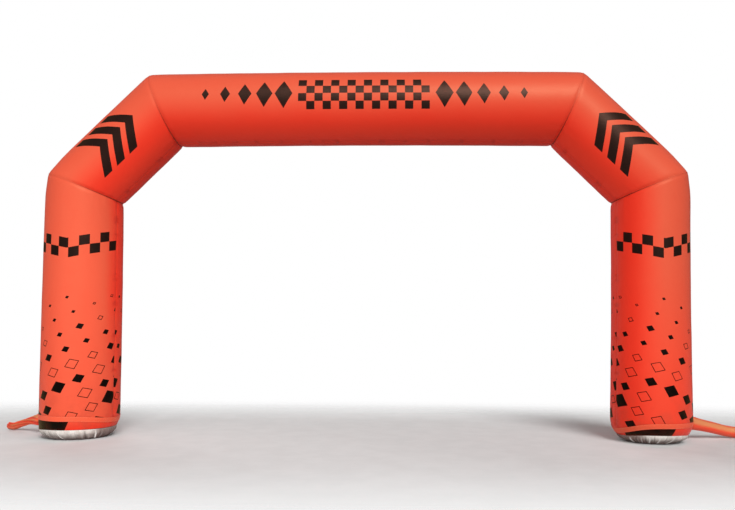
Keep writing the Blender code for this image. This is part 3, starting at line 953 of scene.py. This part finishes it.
class Nodes:
    """Adds nodes to a tree."""

    def __init__(self, tree):
        self.tree = tree

    def set_input(self, socket, value):
        if isinstance(value, Value):
            self.tree.links.new(value.socket, socket)
        elif hasattr(value, "__len__") and len(socket.default_value) == 4:
            socket.default_value = (*value[:3], 1.0)
        else:
            socket.default_value = value

    def node(self, kind, settings, inputs, output=0):
        """A node of one kind, its settings set first and then its sockets."""
        made = self.tree.nodes.new(kind)
        for key, value in settings.items():
            setattr(made, key, value)
        for key, value in inputs.items():
            self.set_input(made.inputs[key], value)
        return Value(self, made.outputs[output])

    def maths(self, operation, *values):
        return self.node("ShaderNodeMath", {"operation": operation}, dict(enumerate(values)))

    def uv(self, name):
        made = self.node("ShaderNodeUVMap", {"uv_map": name}, {})
        parts = self.tree.nodes.new("ShaderNodeSeparateXYZ")
        self.tree.links.new(made.socket, parts.inputs[0])
        return Value(self, parts.outputs[0]), Value(self, parts.outputs[1])

    def vector(self, x, y, z=0.0):
        return self.node("ShaderNodeCombineXYZ", {}, {0: x, 1: y, 2: z})

    def place(self):
        return self.node("ShaderNodeTexCoord", {}, {}, "Object")

    def noise(self, vector, scale, detail, roughness):
        inputs = {"Vector": vector, "Scale": scale, "Detail": detail, "Roughness": roughness}
        return self.node("ShaderNodeTexNoise", {"noise_dimensions": "3D"}, inputs)

    def chance(self, vector):
        return self.node("ShaderNodeTexWhiteNoise", {"noise_dimensions": "2D"}, {"Vector": vector})

    def ramp(self, value, low, high, start=0.0, end=1.0):
        inputs = {0: value, 1: low, 2: high, 3: start, 4: end}
        return self.node("ShaderNodeMapRange", {"interpolation_type": "SMOOTHSTEP"}, inputs)

    def mix(self, share, first, second):
        """A colour between two colours."""
        inputs = {0: share, 6: first, 7: second}
        return self.node("ShaderNodeMix", {"data_type": "RGBA"}, inputs, 2)

    def bump(self, height, distance, strength, normal=None):
        inputs = {"Height": height, "Distance": distance, "Strength": strength}
        if normal is not None:
            inputs["Normal"] = normal
        return self.node("ShaderNodeBump", {}, inputs)


class Looks(Nodes):
    """One material's node tree."""

    def __init__(self, name):
        self.material = bpy.data.materials.new(name)
        self.material.use_nodes = True
        super().__init__(self.material.node_tree)
        self.shader = self.tree.nodes["Principled BSDF"]

    def finish(self, **inputs):
        for key, value in inputs.items():
            self.set_input(self.shader.inputs[key.replace("_", " ")], value)
        return self.material

    def height(self):
        return self.node("ShaderNodeSeparateXYZ", {}, {0: self.place()}, 2)

    def coats(self, colour, *coats):
        """A colour under others, each with the share that covers what is below it."""
        for share, tone in coats:
            colour = self.mix(share, colour, tone)
        return colour

    def sheen(self, level, tint):
        self.shader.inputs["Specular IOR Level"].default_value = level
        self.shader.inputs["Specular Tint"].default_value = (*tint, 1.0)


# The prints, in metres of cloth.
LEG_CELL = (0.250, 0.185)
LEG_TILT_DEG = -24.0
LEG_FIELD_TOP = 1.72
LEG_BAND = (2.14, 2.38)
LEG_BAND_HALF = 0.62
LEG_BAND_SLANT = 0.22
LEG_CHECK = 0.12
BASE_BLOCK_LEVEL = 0.16
CHEVRONS = (-0.16, 0.05, 0.26)
CHEVRON_WIDTH = 0.13
CHEVRON_MIDDLE = 0.04
CHEVRON_HALF = 0.31
CHEVRON_SLANT = 0.75
BEAM_MIDDLE = 0.05
BEAM_BAND_HALF = (0.80, 0.20)
BEAM_CHECK = 0.10
BEAM_ROW = (0.86, 2.06)
BEAM_PITCH = 0.24
BEAM_LOZENGE_HEIGHT = 0.40

# Rows of stitches, in metres off a seam.
MITRE_ROWS = ((0.0085, 0.0100), (0.0150, 0.0165))
SINGLE_ROW = (0.0060, 0.0074)


def height_round(around):
    """How high a place lies round the tube: the same on its front and its back."""
    quarter = HALF_GIRTH / 2.0
    return quarter - abs(around - quarter)


def checks(across, along, square):
    """1 on every other square."""
    total = (across / square).floor() + (along / square).floor()
    return (total * 0.5).fraction() > 0.25


def inside(value, low, high):
    return (value > low) * (value < high)


def stitches(run, sizes, share=0.68):
    """1 where a stitch's thread shows."""
    return (run / sizes.stitch_length).fraction() < share


def weave(around, along, spacing):
    k = TURN / spacing
    return (around * k).sine() * (along * k).sine()


def lozenge_field(around, height, cell, tilt_deg, size, seed):
    """Lozenges in tilted rows, some solid and some in outline. size is a share of a cell."""
    kit = around.kit
    c, s = math.cos(math.radians(tilt_deg)), math.sin(math.radians(tilt_deg))
    p = (around * c + height * s) / cell[0] + seed
    q = (height * c - around * s) / cell[1] + seed
    draw = kit.chance(kit.vector(p.floor(), q.floor()))
    other = kit.chance(kit.vector(q.floor() + 7.5, p.floor() + 3.5))
    off = abs(p.fraction() - 0.5) + abs(q.fraction() - 0.5)
    reach = size * (0.62 + 0.38 * other)
    solid = off < reach
    hole = (off < reach - 0.055) * (draw < 0.36)
    return solid * (1.0 - hole) * (draw < 0.86)


def leg_print(around, height):
    """Lozenges that shrink with height, and a slanting band of checks higher up."""
    size = around.kit.ramp(height, 0.35, 1.75, 0.50, 0.13) * (height < LEG_FIELD_TOP)
    field = lozenge_field(around, height, LEG_CELL, LEG_TILT_DEG, size, 0.3)
    slope = height - LEG_BAND_SLANT * abs(around)
    band = inside(slope, *LEG_BAND) * (abs(around) < LEG_BAND_HALF)
    return field.most(band * checks(around + 0.02, slope - LEG_BAND[0], LEG_CHECK))


def base_print(low, high, lean):
    """A plain block low on the band, between two slanting ends."""
    return lambda around, height: inside(around - lean * (height - BASE_BLOCK_LEVEL), low, high)


# Painted light: how far outwards or up the cloth faces where its lighter tone starts and is full,
# and its share near the ground. Blocks: their two ends round the band, and their lean.
TOP_PAINTED_LIGHT = (-0.75, 0.25, 1.0)
LEG_PAINTED_LIGHT = {"left": (-1.05, -0.80, 0.85), "right": (-0.80, 0.10, 0.30)}
BASE_BLOCKS = {"left": (-0.05, 0.66, -0.35), "right": (-0.50, 0.10, 0.35)}


def shoulder_print(around, along):
    """Three chevrons that point towards the beam."""
    across = abs(height_round(around) - CHEVRON_MIDDLE)
    climb = along + across * CHEVRON_SLANT
    bars = [inside(climb, low, low + CHEVRON_WIDTH) for low in CHEVRONS]
    return bars[0].most(bars[1]).most(bars[2]) * (across < CHEVRON_HALF)


def falling_print(around, along):
    """The other shoulder's chevrons, which also point towards the beam."""
    return shoulder_print(around, along * -1.0)


def beam_print(around, along):
    """A band of checks in the middle, with lozenges that shrink away from it."""
    up = height_round(around) - BEAM_MIDDLE
    across = abs(along)
    half, high = BEAM_BAND_HALF
    band = inside(up, -high, high) * (across < half) * checks(along, up + high, BEAM_CHECK)
    size = up.kit.ramp(across, 0.95, 2.15, 0.46, 0.16) * inside(across, *BEAM_ROW)
    place = ((across - BEAM_ROW[0]) / BEAM_PITCH).fraction()
    off = abs(place - 0.5) + abs(up) / BEAM_LOZENGE_HEIGHT
    return band.most(off < size)


# Tones of thread, wear and dust, and of painted shade and painted highlights, over the cloths' own
# colours.
INK_LOW_SHADE = (0.0035, 0.0025, 0.0025)
CLOTH_PATCH = (0.60, 0.040, 0.018)
CLOTH_DUST = (0.36, 0.045, 0.026)
CLOTH_PUCKER_SHADE = (0.46, 0.018, 0.010)
CLOTH_THREAD = (0.34, 0.022, 0.012)
CLOTH_SEAM_SHADE = (0.15, 0.010, 0.006)
FOOT_BRIGHT = (0.97, 0.93, 0.87)
FOOT_INNER_SHADE = (0.20, 0.130, 0.108)
FOOT_GROUND_SHADE_AND_DIRT = (0.115, 0.064, 0.054)
FOOT_CREASE_SHADE = (0.075, 0.050, 0.042)
FOOT_CREST_HIGHLIGHT = (0.98, 0.95, 0.91)
FOOT_THREAD = (0.70, 0.68, 0.66)
TAPE_GROUND = (0.64, 0.066, 0.030)
TAPE_DUST = (0.33, 0.17, 0.11)
TAPE_THREAD = (0.90, 0.26, 0.16)
TAPE_EDGE = (0.26, 0.020, 0.012)
SLEEVE_SHADE = (0.70, 0.056, 0.026)
SLEEVE_FOLD_SHADE = (0.42, 0.022, 0.012)
SLEEVE_END_SHADE = (0.52, 0.020, 0.014)
SLEEVE_HEM = (0.60, 0.045, 0.022)
SLEEVE_DUST = (0.30, 0.16, 0.10)
SLEEVE_THREAD = (0.36, 0.026, 0.016)
FLOOR_GRAIN = (0.62, 0.62, 0.615)
COATED_SHEEN = (1.0, 0.80, 0.46)
PLAIN_SHEEN = (1.0, 0.60, 0.36)


def cloth_looks(name, colours, sizes, ink_mask, painted_light):
    """Coated woven cloth: print, weave, stitched seams and a little dust, with painted light: a
    lighter tone where it faces the light, the print darker low down, and painted shade along the
    seams and in the puckers.
    """
    kit = Looks(name)
    around, along = kit.uv("cloth")
    run, off = kit.uv("seam")
    place, height = kit.place(), kit.height()
    broad = kit.noise(place, 0.9, 3.0, 0.55)
    patches = kit.noise(place, 6.0, 4.0, 0.6)
    fine = kit.noise(kit.vector(around, along), 420.0, 2.0, 0.6)
    outwards = (around / TUBE_RADIUS).sine()
    # Painted light: a lighter tone where the cloth faces the light, with less of it near the
    # ground.
    start, full, low_share = painted_light
    painted_lit_share = kit.ramp(outwards + (broad - 0.5) * 0.35, start, full)
    painted_lit_share = painted_lit_share * kit.ramp(height, 0.2, 2.4, low_share, 1.0) * kit.ramp(height, 0.12, 0.30)
    ink = ink_mask(around, along)
    worn = 1.0 - kit.ramp(fine * 0.6 + patches * 0.4, 0.60, 0.72, 0.0, 0.25)
    # Painted light: the print is darker low down and lighter high up, where the light falls.
    painted_ink_tone = kit.mix(kit.ramp(height, 0.25, 3.4), INK_LOW_SHADE, colours.ink)
    dust = kit.ramp(height, 0.05, 0.80, 0.45, 0.0) * kit.ramp(patches, 0.42, 0.68)
    dust = dust * (1.0 - ink * 0.85)
    rows = inside(off, *MITRE_ROWS[0]).most(inside(off, *MITRE_ROWS[1])) * stitches(run, sizes)
    # Painted shade: a dark line along the seams, darkest towards the inner corners.
    edge = (off < 0.0055) * kit.ramp(outwards, -0.92, 0.15, 0.95, 0.14)
    allowance = kit.ramp(off, 0.0185, 0.0200, 1.0, 0.0)
    long_seam = abs(around + FRONT_TURN * TUBE_RADIUS)
    beside = long_seam.least(abs(around + FRONT_TURN * TUBE_RADIUS - 2.0 * HALF_GIRTH))
    rows = rows.most(inside(beside, *SINGLE_ROW) * stitches(along, sizes))
    edge = edge.most((beside < 0.0018) * 0.25)
    allowance = allowance.most(kit.ramp(beside, 0.0125, 0.0140, 1.0, 0.0))
    # Painted shade in the puckers beside the lengthwise seam.
    drawn = kit.noise(kit.vector(along + beside * 0.25, 0.0), 7.0, 2.0, 0.5)
    pucker = kit.ramp(drawn, 0.50, 0.66) * kit.ramp(beside, 0.008, 0.085, 1.0, 0.0) * (1.0 - ink)
    colour = kit.coats(
        colours.cloth,
        (painted_lit_share, colours.cloth_lit),
        ((patches - 0.5).most(0.0) * 0.4, CLOTH_PATCH),
        (ink * worn, painted_ink_tone),
        (dust, CLOTH_DUST),
        (pucker * 0.55, CLOTH_PUCKER_SHADE),
        (rows * 0.45, CLOTH_THREAD),
        (edge, CLOTH_SEAM_SHADE),
    )
    threads = (around * (TURN / sizes.thread_spacing / 4.0)).sine() ** 8.0
    cloth = weave(around, along, sizes.thread_spacing) * 0.5 + threads * 0.25 + fine * 0.5
    normal = kit.bump(1.0 - pucker, 0.008, 0.5)
    normal = kit.bump(allowance + rows * 0.8, 0.0009, 0.6, normal)
    normal = kit.bump(cloth, 0.00030, 0.55, normal)
    normal = kit.bump(kit.noise(place, 24.0, 3.0, 0.6), 0.0022, 0.20, normal)
    rough = 0.40 + (patches - 0.5) * 0.10 + dust * 0.25
    kit.sheen(0.26, COATED_SHEEN)
    metal = ink * worn * 0.70
    return kit.finish(Base_Color=colour, Roughness=rough, Metallic=metal, Normal=normal)


def foot_looks(word, colours, sizes):
    """Silver coated cloth, with painted shade towards the arch's inner side and in its creases,
    painted shade and dirt towards the ground, and painted highlights on its ridges.
    """
    kit = Looks(f"foot_cloth_{word}")
    around, along = kit.uv("cloth")
    run, off = kit.uv("seam")
    trough, rise = kit.uv("fold")
    place, height = kit.place(), kit.height()
    blotch = kit.noise(place, 9.0, 4.0, 0.6)
    fine = kit.noise(place, 160.0, 3.0, 0.65)
    # Painted shade towards the arch's inner side.
    outwards = (around / TUBE_RADIUS).sine() + (blotch - 0.5) * 0.25 - (1.0 - rise) * 0.18
    painted_inner_shade = kit.ramp(outwards, *FOOT_SHADE[word], 0.0, 0.92)
    # Painted shade of the underside, with dirt, towards the ground.
    low = height + (blotch - 0.5) * 0.05 - kit.ramp(around, 0.04, 0.30, 0.0, FOOT_UNDERSIDE[word])
    ground_shade_and_dirt = kit.ramp(low, 0.015, 0.125, 0.95, 0.0)
    # Painted highlight on the ridges between the creases.
    crest_highlight = kit.ramp(trough, -0.10, -0.9, 0.0, 0.90) * kit.ramp(rise, 0.12, 0.55)
    rows = inside(off, *SINGLE_ROW) * stitches(run, sizes)
    colour = kit.coats(
        colours.foot,
        (kit.ramp(blotch, 0.40, 0.66), FOOT_BRIGHT),
        (painted_inner_shade, FOOT_INNER_SHADE),
        (ground_shade_and_dirt, FOOT_GROUND_SHADE_AND_DIRT),
        # Painted shade in the creases' troughs.
        (kit.ramp(trough, 0.1, 1.1, 0.0, 0.90), FOOT_CREASE_SHADE),
        (crest_highlight, FOOT_CREST_HIGHLIGHT),
        (rows * 0.6, FOOT_THREAD),
    )
    cloth = weave(around, along, sizes.thread_spacing * 1.4) * 0.5 + fine * 0.7 + rows
    normal = kit.bump(kit.noise(place, 34.0, 4.0, 0.65), 0.010, 0.30)
    normal = kit.bump(cloth, 0.0005, 0.5, normal)
    metal = 0.60 - ground_shade_and_dirt * 0.40 - painted_inner_shade * 0.30
    rough = 0.30 + ground_shade_and_dirt * 0.30 + (fine - 0.5) * 0.10
    return kit.finish(Base_Color=colour, Metallic=metal, Roughness=rough, Normal=normal)


def tape_looks(colours, sizes):
    """Woven webbing: ribs along it, a firm edge and a row of stitches near each side."""
    kit = Looks("tape_weave")
    run, level = kit.uv("cloth")
    place = kit.place()
    patches = kit.noise(place, 7.0, 3.0, 0.6)
    fine = kit.noise(place, 300.0, 2.0, 0.6)
    rib = (level * (TURN / 0.0032)).sine()
    pick = ((run + level * 0.5) * (TURN / 0.0022)).sine()
    stitch = (abs(abs(level) - 0.0235) < 0.0008) * stitches(run, sizes, 0.66)
    colour = kit.coats(
        TAPE_GROUND,
        (kit.ramp(rib * pick, -0.6, 0.8), colours.tape),
        (kit.ramp(patches, 0.50, 0.72, 0.0, 0.12), TAPE_DUST),
        (stitch * 0.7, TAPE_THREAD),
        (kit.ramp(abs(level), 0.0262, 0.0288) * 0.7, TAPE_EDGE),
    )
    normal = kit.bump(rib * pick * 0.6 + stitch + fine * 0.3, 0.0007, 0.7)
    rough = 0.48 + (fine - 0.5) * 0.2
    kit.sheen(0.40, COATED_SHEEN)
    return kit.finish(Base_Color=colour, Roughness=rough, Normal=normal)


def sleeve_looks(name, colours, sizes, limp):
    """Light uncoated cloth, with a stitched hem at the mouth, and a painted lighter tone on its
    upper side over a painted shade tone.

    limp: for the sleeve in folds, with painted highlights on its crests and painted shade in its
    folds, at its end and under its root.
    """
    kit = Looks(name)
    around, along = kit.uv("cloth")
    run, off = kit.uv("seam")
    place, height = kit.place(), kit.height()
    patches = kit.noise(place, 8.0, 4.0, 0.6)
    fine = kit.noise(place, 260.0, 2.0, 0.6)
    # Painted light: lighter where the sleeve faces up, fading off at its very top.
    up = (around / SLEEVE_MEAN_RADIUS).sine() + (patches - 0.5) * 0.5
    painted_lit_side = kit.ramp(up, -0.35, 0.20) * kit.ramp(up, 0.66, 0.95, 1.0, 0.1)
    shade_tone = SLEEVE_SHADE
    if limp:
        # Painted highlight on the fold crests; painted shade in the folds, at the end and under the
        # root.
        ridge = kit.uv("fold")[0]
        crest_highlight = kit.ramp(ridge, 0.84, 0.99)
        under = kit.ramp(along, 0.10, 0.32, 0.9, 0.0) * kit.ramp(up, 0.15, -0.45)
        end = kit.ramp(off, 0.085, 0.035, 0.0, 0.85).most(under)
        painted_lit_side = crest_highlight * (0.35 + 0.65 * painted_lit_side) * (1.0 - end)
        shade_tone = kit.mix(kit.ramp(ridge, 0.62, 0.86), SLEEVE_FOLD_SHADE, shade_tone)
        shade_tone = kit.mix(end * 0.6, shade_tone, SLEEVE_END_SHADE)
    dust = kit.ramp(height, 0.0, 0.12, 0.45, 0.0) * kit.ramp(patches, 0.35, 0.65)
    rows = (abs(off - (sizes.hem_width - 0.003)) < 0.0007).most(abs(along - 0.012) < 0.0008)
    rows = rows * stitches(run, sizes)
    colour = kit.coats(
        shade_tone,
        (painted_lit_side, colours.sleeve),
        ((off < sizes.hem_width) * 0.35, SLEEVE_HEM),
        (dust, SLEEVE_DUST),
        (rows * 0.7, SLEEVE_THREAD),
    )
    wrinkle = kit.noise(kit.vector(around * 3.0, along), 26.0 if limp else 15.0, 3.0, 0.6)
    normal = kit.bump(wrinkle, 0.006 if limp else 0.003, 0.5)
    cloth = weave(around, along, sizes.thread_spacing) * 0.5 + fine * 0.6 + rows
    normal = kit.bump(cloth, 0.0004, 0.6, normal)
    rough = 0.52 + (patches - 0.5) * 0.2 + dust * 0.3
    kit.sheen(0.45, PLAIN_SHEEN)
    return kit.finish(Base_Color=colour, Roughness=rough, Normal=normal)


# ---- operators ----


def arch_line():
    """The corners of the arch's middle line, from the left foot to the right one."""
    left, right = LEGS["left"]["foot_x"], LEGS["right"]["foot_x"]
    top = ((-ELBOW_X, ELBOW_Z), (-CORNER_X, CORNER_Z), (CORNER_X, CORNER_Z), (ELBOW_X, ELBOW_Z))
    return [np.array((x, 0.0, z)) for x, z in ((-left, 0.0), *top, (right, 0.0))]


def settings(context):
    return context.scene.arch_sizes, context.scene.arch_colours


class ARCH_OT_tubes(bpy.types.Operator):
    """Dress the beam and the two shoulders in printed cloth."""

    bl_idname = "arch.tubes"
    bl_label = "Beam and shoulders"

    def execute(self, context):
        sizes, colours = settings(context)
        line = arch_line()
        cuts = [bisector(*line[k : k + 3]) for k in range(4)]
        soft = (ELBOW_ROUNDING, CORNER_ROUNDING)
        sharp = (CORNER_ROUNDING, CORNER_ROUNDING)
        rows = (
            ("shoulder_left", "rising_cloth", shoulder_print, soft, 0.0, 1.1),
            ("beam", "beam_cloth", beam_print, sharp, BEAM_BOW, 2.9),
            ("shoulder_right", "falling_cloth", falling_print, soft[::-1], 0.0, 4.2),
        )
        for k, (node, look, ink_mask, rounding, bow, shift) in enumerate(rows):
            tube = Tube(line[k + 1], line[k + 2], cuts[k : k + 2], rounding, bow, shift)
            cloth = cloth_looks(look, colours, sizes, ink_mask, TOP_PAINTED_LIGHT)
            dress_tube(tube, node, cloth, sizes)
        return {"FINISHED"}


class ARCH_OT_legs(bpy.types.Operator):
    """Dress the two legs and the bands under their tapes."""

    bl_idname = "arch.legs"
    bl_label = "Legs"

    def execute(self, context):
        sizes, colours = settings(context)
        for word, painted_light in LEG_PAINTED_LIGHT.items():
            leg = Leg(word)
            block = base_print(*BASE_BLOCKS[word])
            cloth = cloth_looks(f"leg_cloth_{word}", colours, sizes, leg_print, painted_light)
            band = cloth_looks(f"base_cloth_{word}", colours, sizes, block, painted_light)
            dress_tube(leg, f"leg_{word}", cloth, sizes)
            dress_base(leg, f"base_{word}", band, sizes)
        return {"FINISHED"}


class ARCH_OT_feet(bpy.types.Operator):
    """Dress the two feet in gathered silver cloth."""

    bl_idname = "arch.feet"
    bl_label = "Feet"

    def execute(self, context):
        sizes, colours = settings(context)
        feet = []
        for word in LEGS:
            cloth = foot_looks(word, colours, sizes)
            feet.append(dress_foot(Leg(word), f"foot_{word}", cloth, sizes))
        fill_with_air(feet, sizes)
        return {"FINISHED"}


class ARCH_OT_tapes(bpy.types.Operator):
    """Lay the woven tapes around the legs."""

    bl_idname = "arch.tapes"
    bl_label = "Tapes"

    def execute(self, context):
        sizes, colours = settings(context)
        webbing = tape_looks(colours, sizes)
        for word in LEGS:
            dress_tape(Leg(word), f"tape_{word}", webbing)
        return {"FINISHED"}


class ARCH_OT_sleeves(bpy.types.Operator):
    """Make the inflated and the limp air sleeve."""

    bl_idname = "arch.sleeves"
    bl_label = "Air sleeves"

    def execute(self, context):
        sizes, colours = settings(context)
        full = sleeve_looks("full_sleeve", colours, sizes, False)
        limp = sleeve_looks("limp_sleeve", colours, sizes, True)
        dress_inlet(Leg("right"), "sleeve_inlet", full, sizes)
        dress_outlet(Leg("left"), "sleeve_outlet", limp, sizes)
        return {"FINISHED"}


CAMERA_PLACE = (0.2553, -8.0647, 1.2866)
CAMERA_YAW_DEG = -1.52
CAMERA_PITCH_DEG = 6.67
CAMERA_ROLL_DEG = 0.24
CAMERA_LENS = 36.0 * 650.0 / 735.0


def pointing(yaw_deg, pitch_deg):
    """Towards the arch's back, turned towards X and lifted."""
    yaw, pitch = math.radians(yaw_deg), math.radians(pitch_deg)
    return Vector(
        (math.sin(yaw) * math.cos(pitch), math.cos(yaw) * math.cos(pitch), math.sin(pitch))
    )


def camera_turn():
    yaw, roll = math.radians(CAMERA_YAW_DEG), math.radians(CAMERA_ROLL_DEG)
    ahead = pointing(CAMERA_YAW_DEG, CAMERA_PITCH_DEG)
    right = Vector((math.cos(yaw), -math.sin(yaw), 0.0))
    up = right.cross(ahead)
    tilted_right = right * math.cos(roll) + up * math.sin(roll)
    tilted_up = up * math.cos(roll) - right * math.sin(roll)
    return Matrix((tilted_right, tilted_up, -ahead)).transposed()


def add_light(name, kind, energy, ahead):
    """A light that shines along ahead, and its object."""
    light = bpy.data.lights.new(name, kind)
    light.energy = energy
    holder = bpy.data.objects.new(name, light)
    holder.rotation_euler = ahead.to_track_quat("-Z", "Y").to_euler()
    bpy.context.scene.collection.objects.link(holder)
    return light, holder


FLOOR_HALF = (5.2, 1.2)  # the floor fades out from these half sizes
FLOOR_FADE = 3.6  # to as many times them
ROOM_STRENGTH = 0.16

# Broad lights: azimuth from the front towards X, height and spread in degrees, strength.
LAMPS = {
    "key": (19.0, 39.0, 30.0, 2.80),
    "fill": (-22.0, 1.0, 60.0, 1.95),
    "back": (205.0, 12.0, 60.0, 1.70),
}
# Soft boxes on both sides of the left leg: place and power.
CARDS = (((-6.5, -6.5, 2.6), 6.0), ((1.9, -2.5, 2.0), 17.0))
CARD_AIM = (-3.5, 0.0, 1.6)
CARD_SIZE = (2.0, 3.4)
CARD_SPREAD_DEG = 55.0


class ARCH_OT_stage(bpy.types.Operator):
    """Set the floor, the lights and the camera."""

    bl_idname = "arch.stage"
    bl_label = "Stage"

    def execute(self, context):
        scene = context.scene
        self.floor(scene)
        self.world(scene)
        for place, power in CARDS:
            self.card(place, power)
        for name, values in LAMPS.items():
            self.lamp(name, *values)
        scene.view_settings.view_transform = "Standard"
        camera = bpy.data.cameras.new("camera")
        camera.sensor_fit = "HORIZONTAL"
        camera.sensor_width = 36.0
        camera.lens = CAMERA_LENS
        camera.clip_end = 400.0
        holder = bpy.data.objects.new("camera", camera)
        scene.collection.objects.link(holder)
        holder.matrix_world = Matrix.Translation(CAMERA_PLACE) @ camera_turn().to_4x4()
        scene.camera = holder
        return {"FINISHED"}

    def floor(self, scene):
        bpy.ops.object.select_all(action="DESELECT")
        bpy.ops.mesh.primitive_plane_add(size=160.0, location=(0.0, 0.0, -0.001))
        floor = bpy.context.object
        floor.name = "floor"
        bpy.ops.object.transform_apply(location=True)
        kit = Looks("floor")
        place = kit.place()
        grain = kit.noise(place, 3.0, 5.0, 0.6)
        colour = kit.mix(kit.ramp(grain, 0.3, 0.7), scene.arch_colours.floor, FLOOR_GRAIN)
        halves = {0: place, 1: (*FLOOR_HALF, 1.0)}
        share = kit.node("ShaderNodeVectorMath", {"operation": "DIVIDE"}, halves)
        far = kit.node("ShaderNodeVectorMath", {"operation": "LENGTH"}, {0: share}, "Value")
        there = kit.ramp(far, 1.0, FLOOR_FADE, 1.0, 0.0)
        floor.data.materials.append(kit.finish(Base_Color=colour, Roughness=0.75, Alpha=there))

    def world(self, scene):
        """White to look at, and a dim even light on the arch."""
        world = bpy.data.worlds.new("studio")
        world.use_nodes = True
        kit = Nodes(world.node_tree)
        seen = kit.node("ShaderNodeLightPath", {}, {}, "Is Camera Ray")
        glow = world.node_tree.nodes["Background"]
        kit.set_input(glow.inputs["Strength"], seen * (1.0 - ROOM_STRENGTH) + ROOM_STRENGTH)
        glow.inputs["Color"].default_value = (1.0, 1.0, 1.0, 1.0)
        scene.world = world

    def card(self, place, power):
        """A soft box that lights the left leg from one side."""
        light, holder = add_light("card", "AREA", power, Vector(CARD_AIM) - Vector(place))
        light.shape = "RECTANGLE"
        light.size, light.size_y = CARD_SIZE
        light.spread = math.radians(CARD_SPREAD_DEG)
        holder.location = place
        holder.visible_camera = False
        holder.visible_glossy = False

    def lamp(self, name, azimuth, elevation, spread, strength):
        """A broad soft light; its azimuth is from the front towards X, in degrees."""
        light, holder = add_light(name, "SUN", strength, pointing(-azimuth, -elevation))
        light.angle = math.radians(spread)
        holder.visible_glossy = name == "key"


class ARCH_PT_panel(bpy.types.Panel):
    """The arch's pieces, sizes and colours in the sidebar."""

    bl_idname = "ARCH_PT_panel"
    bl_label = "Inflatable arch"
    bl_space_type = "VIEW_3D"
    bl_region_type = "UI"
    bl_category = "Arch"

    def draw(self, context):
        column = self.layout.column()
        for operator in OPERATORS:
            column.operator(operator.bl_idname)
        for group in (context.scene.arch_sizes, context.scene.arch_colours):
            for name in group.__annotations__:
                column.prop(group, name)


OPERATORS = (
    ARCH_OT_stage,
    ARCH_OT_legs,
    ARCH_OT_tubes,
    ARCH_OT_feet,
    ARCH_OT_tapes,
    ARCH_OT_sleeves,
)
CLASSES = (ArchSizes, ArchColours, *OPERATORS, ARCH_PT_panel)


def register():
    for item in CLASSES:
        bpy.utils.register_class(item)
    bpy.types.Scene.arch_sizes = PointerProperty(type=ArchSizes)
    bpy.types.Scene.arch_colours = PointerProperty(type=ArchColours)


def unregister():
    del bpy.types.Scene.arch_sizes
    del bpy.types.Scene.arch_colours
    for item in reversed(CLASSES):
        bpy.utils.unregister_class(item)


def main():
    register()
    bpy.ops.arch.stage()
    bpy.ops.arch.legs()
    bpy.ops.arch.tubes()
    bpy.ops.arch.feet()
    bpy.ops.arch.tapes()
    bpy.ops.arch.sleeves()


if __name__ == "__main__":
    main()
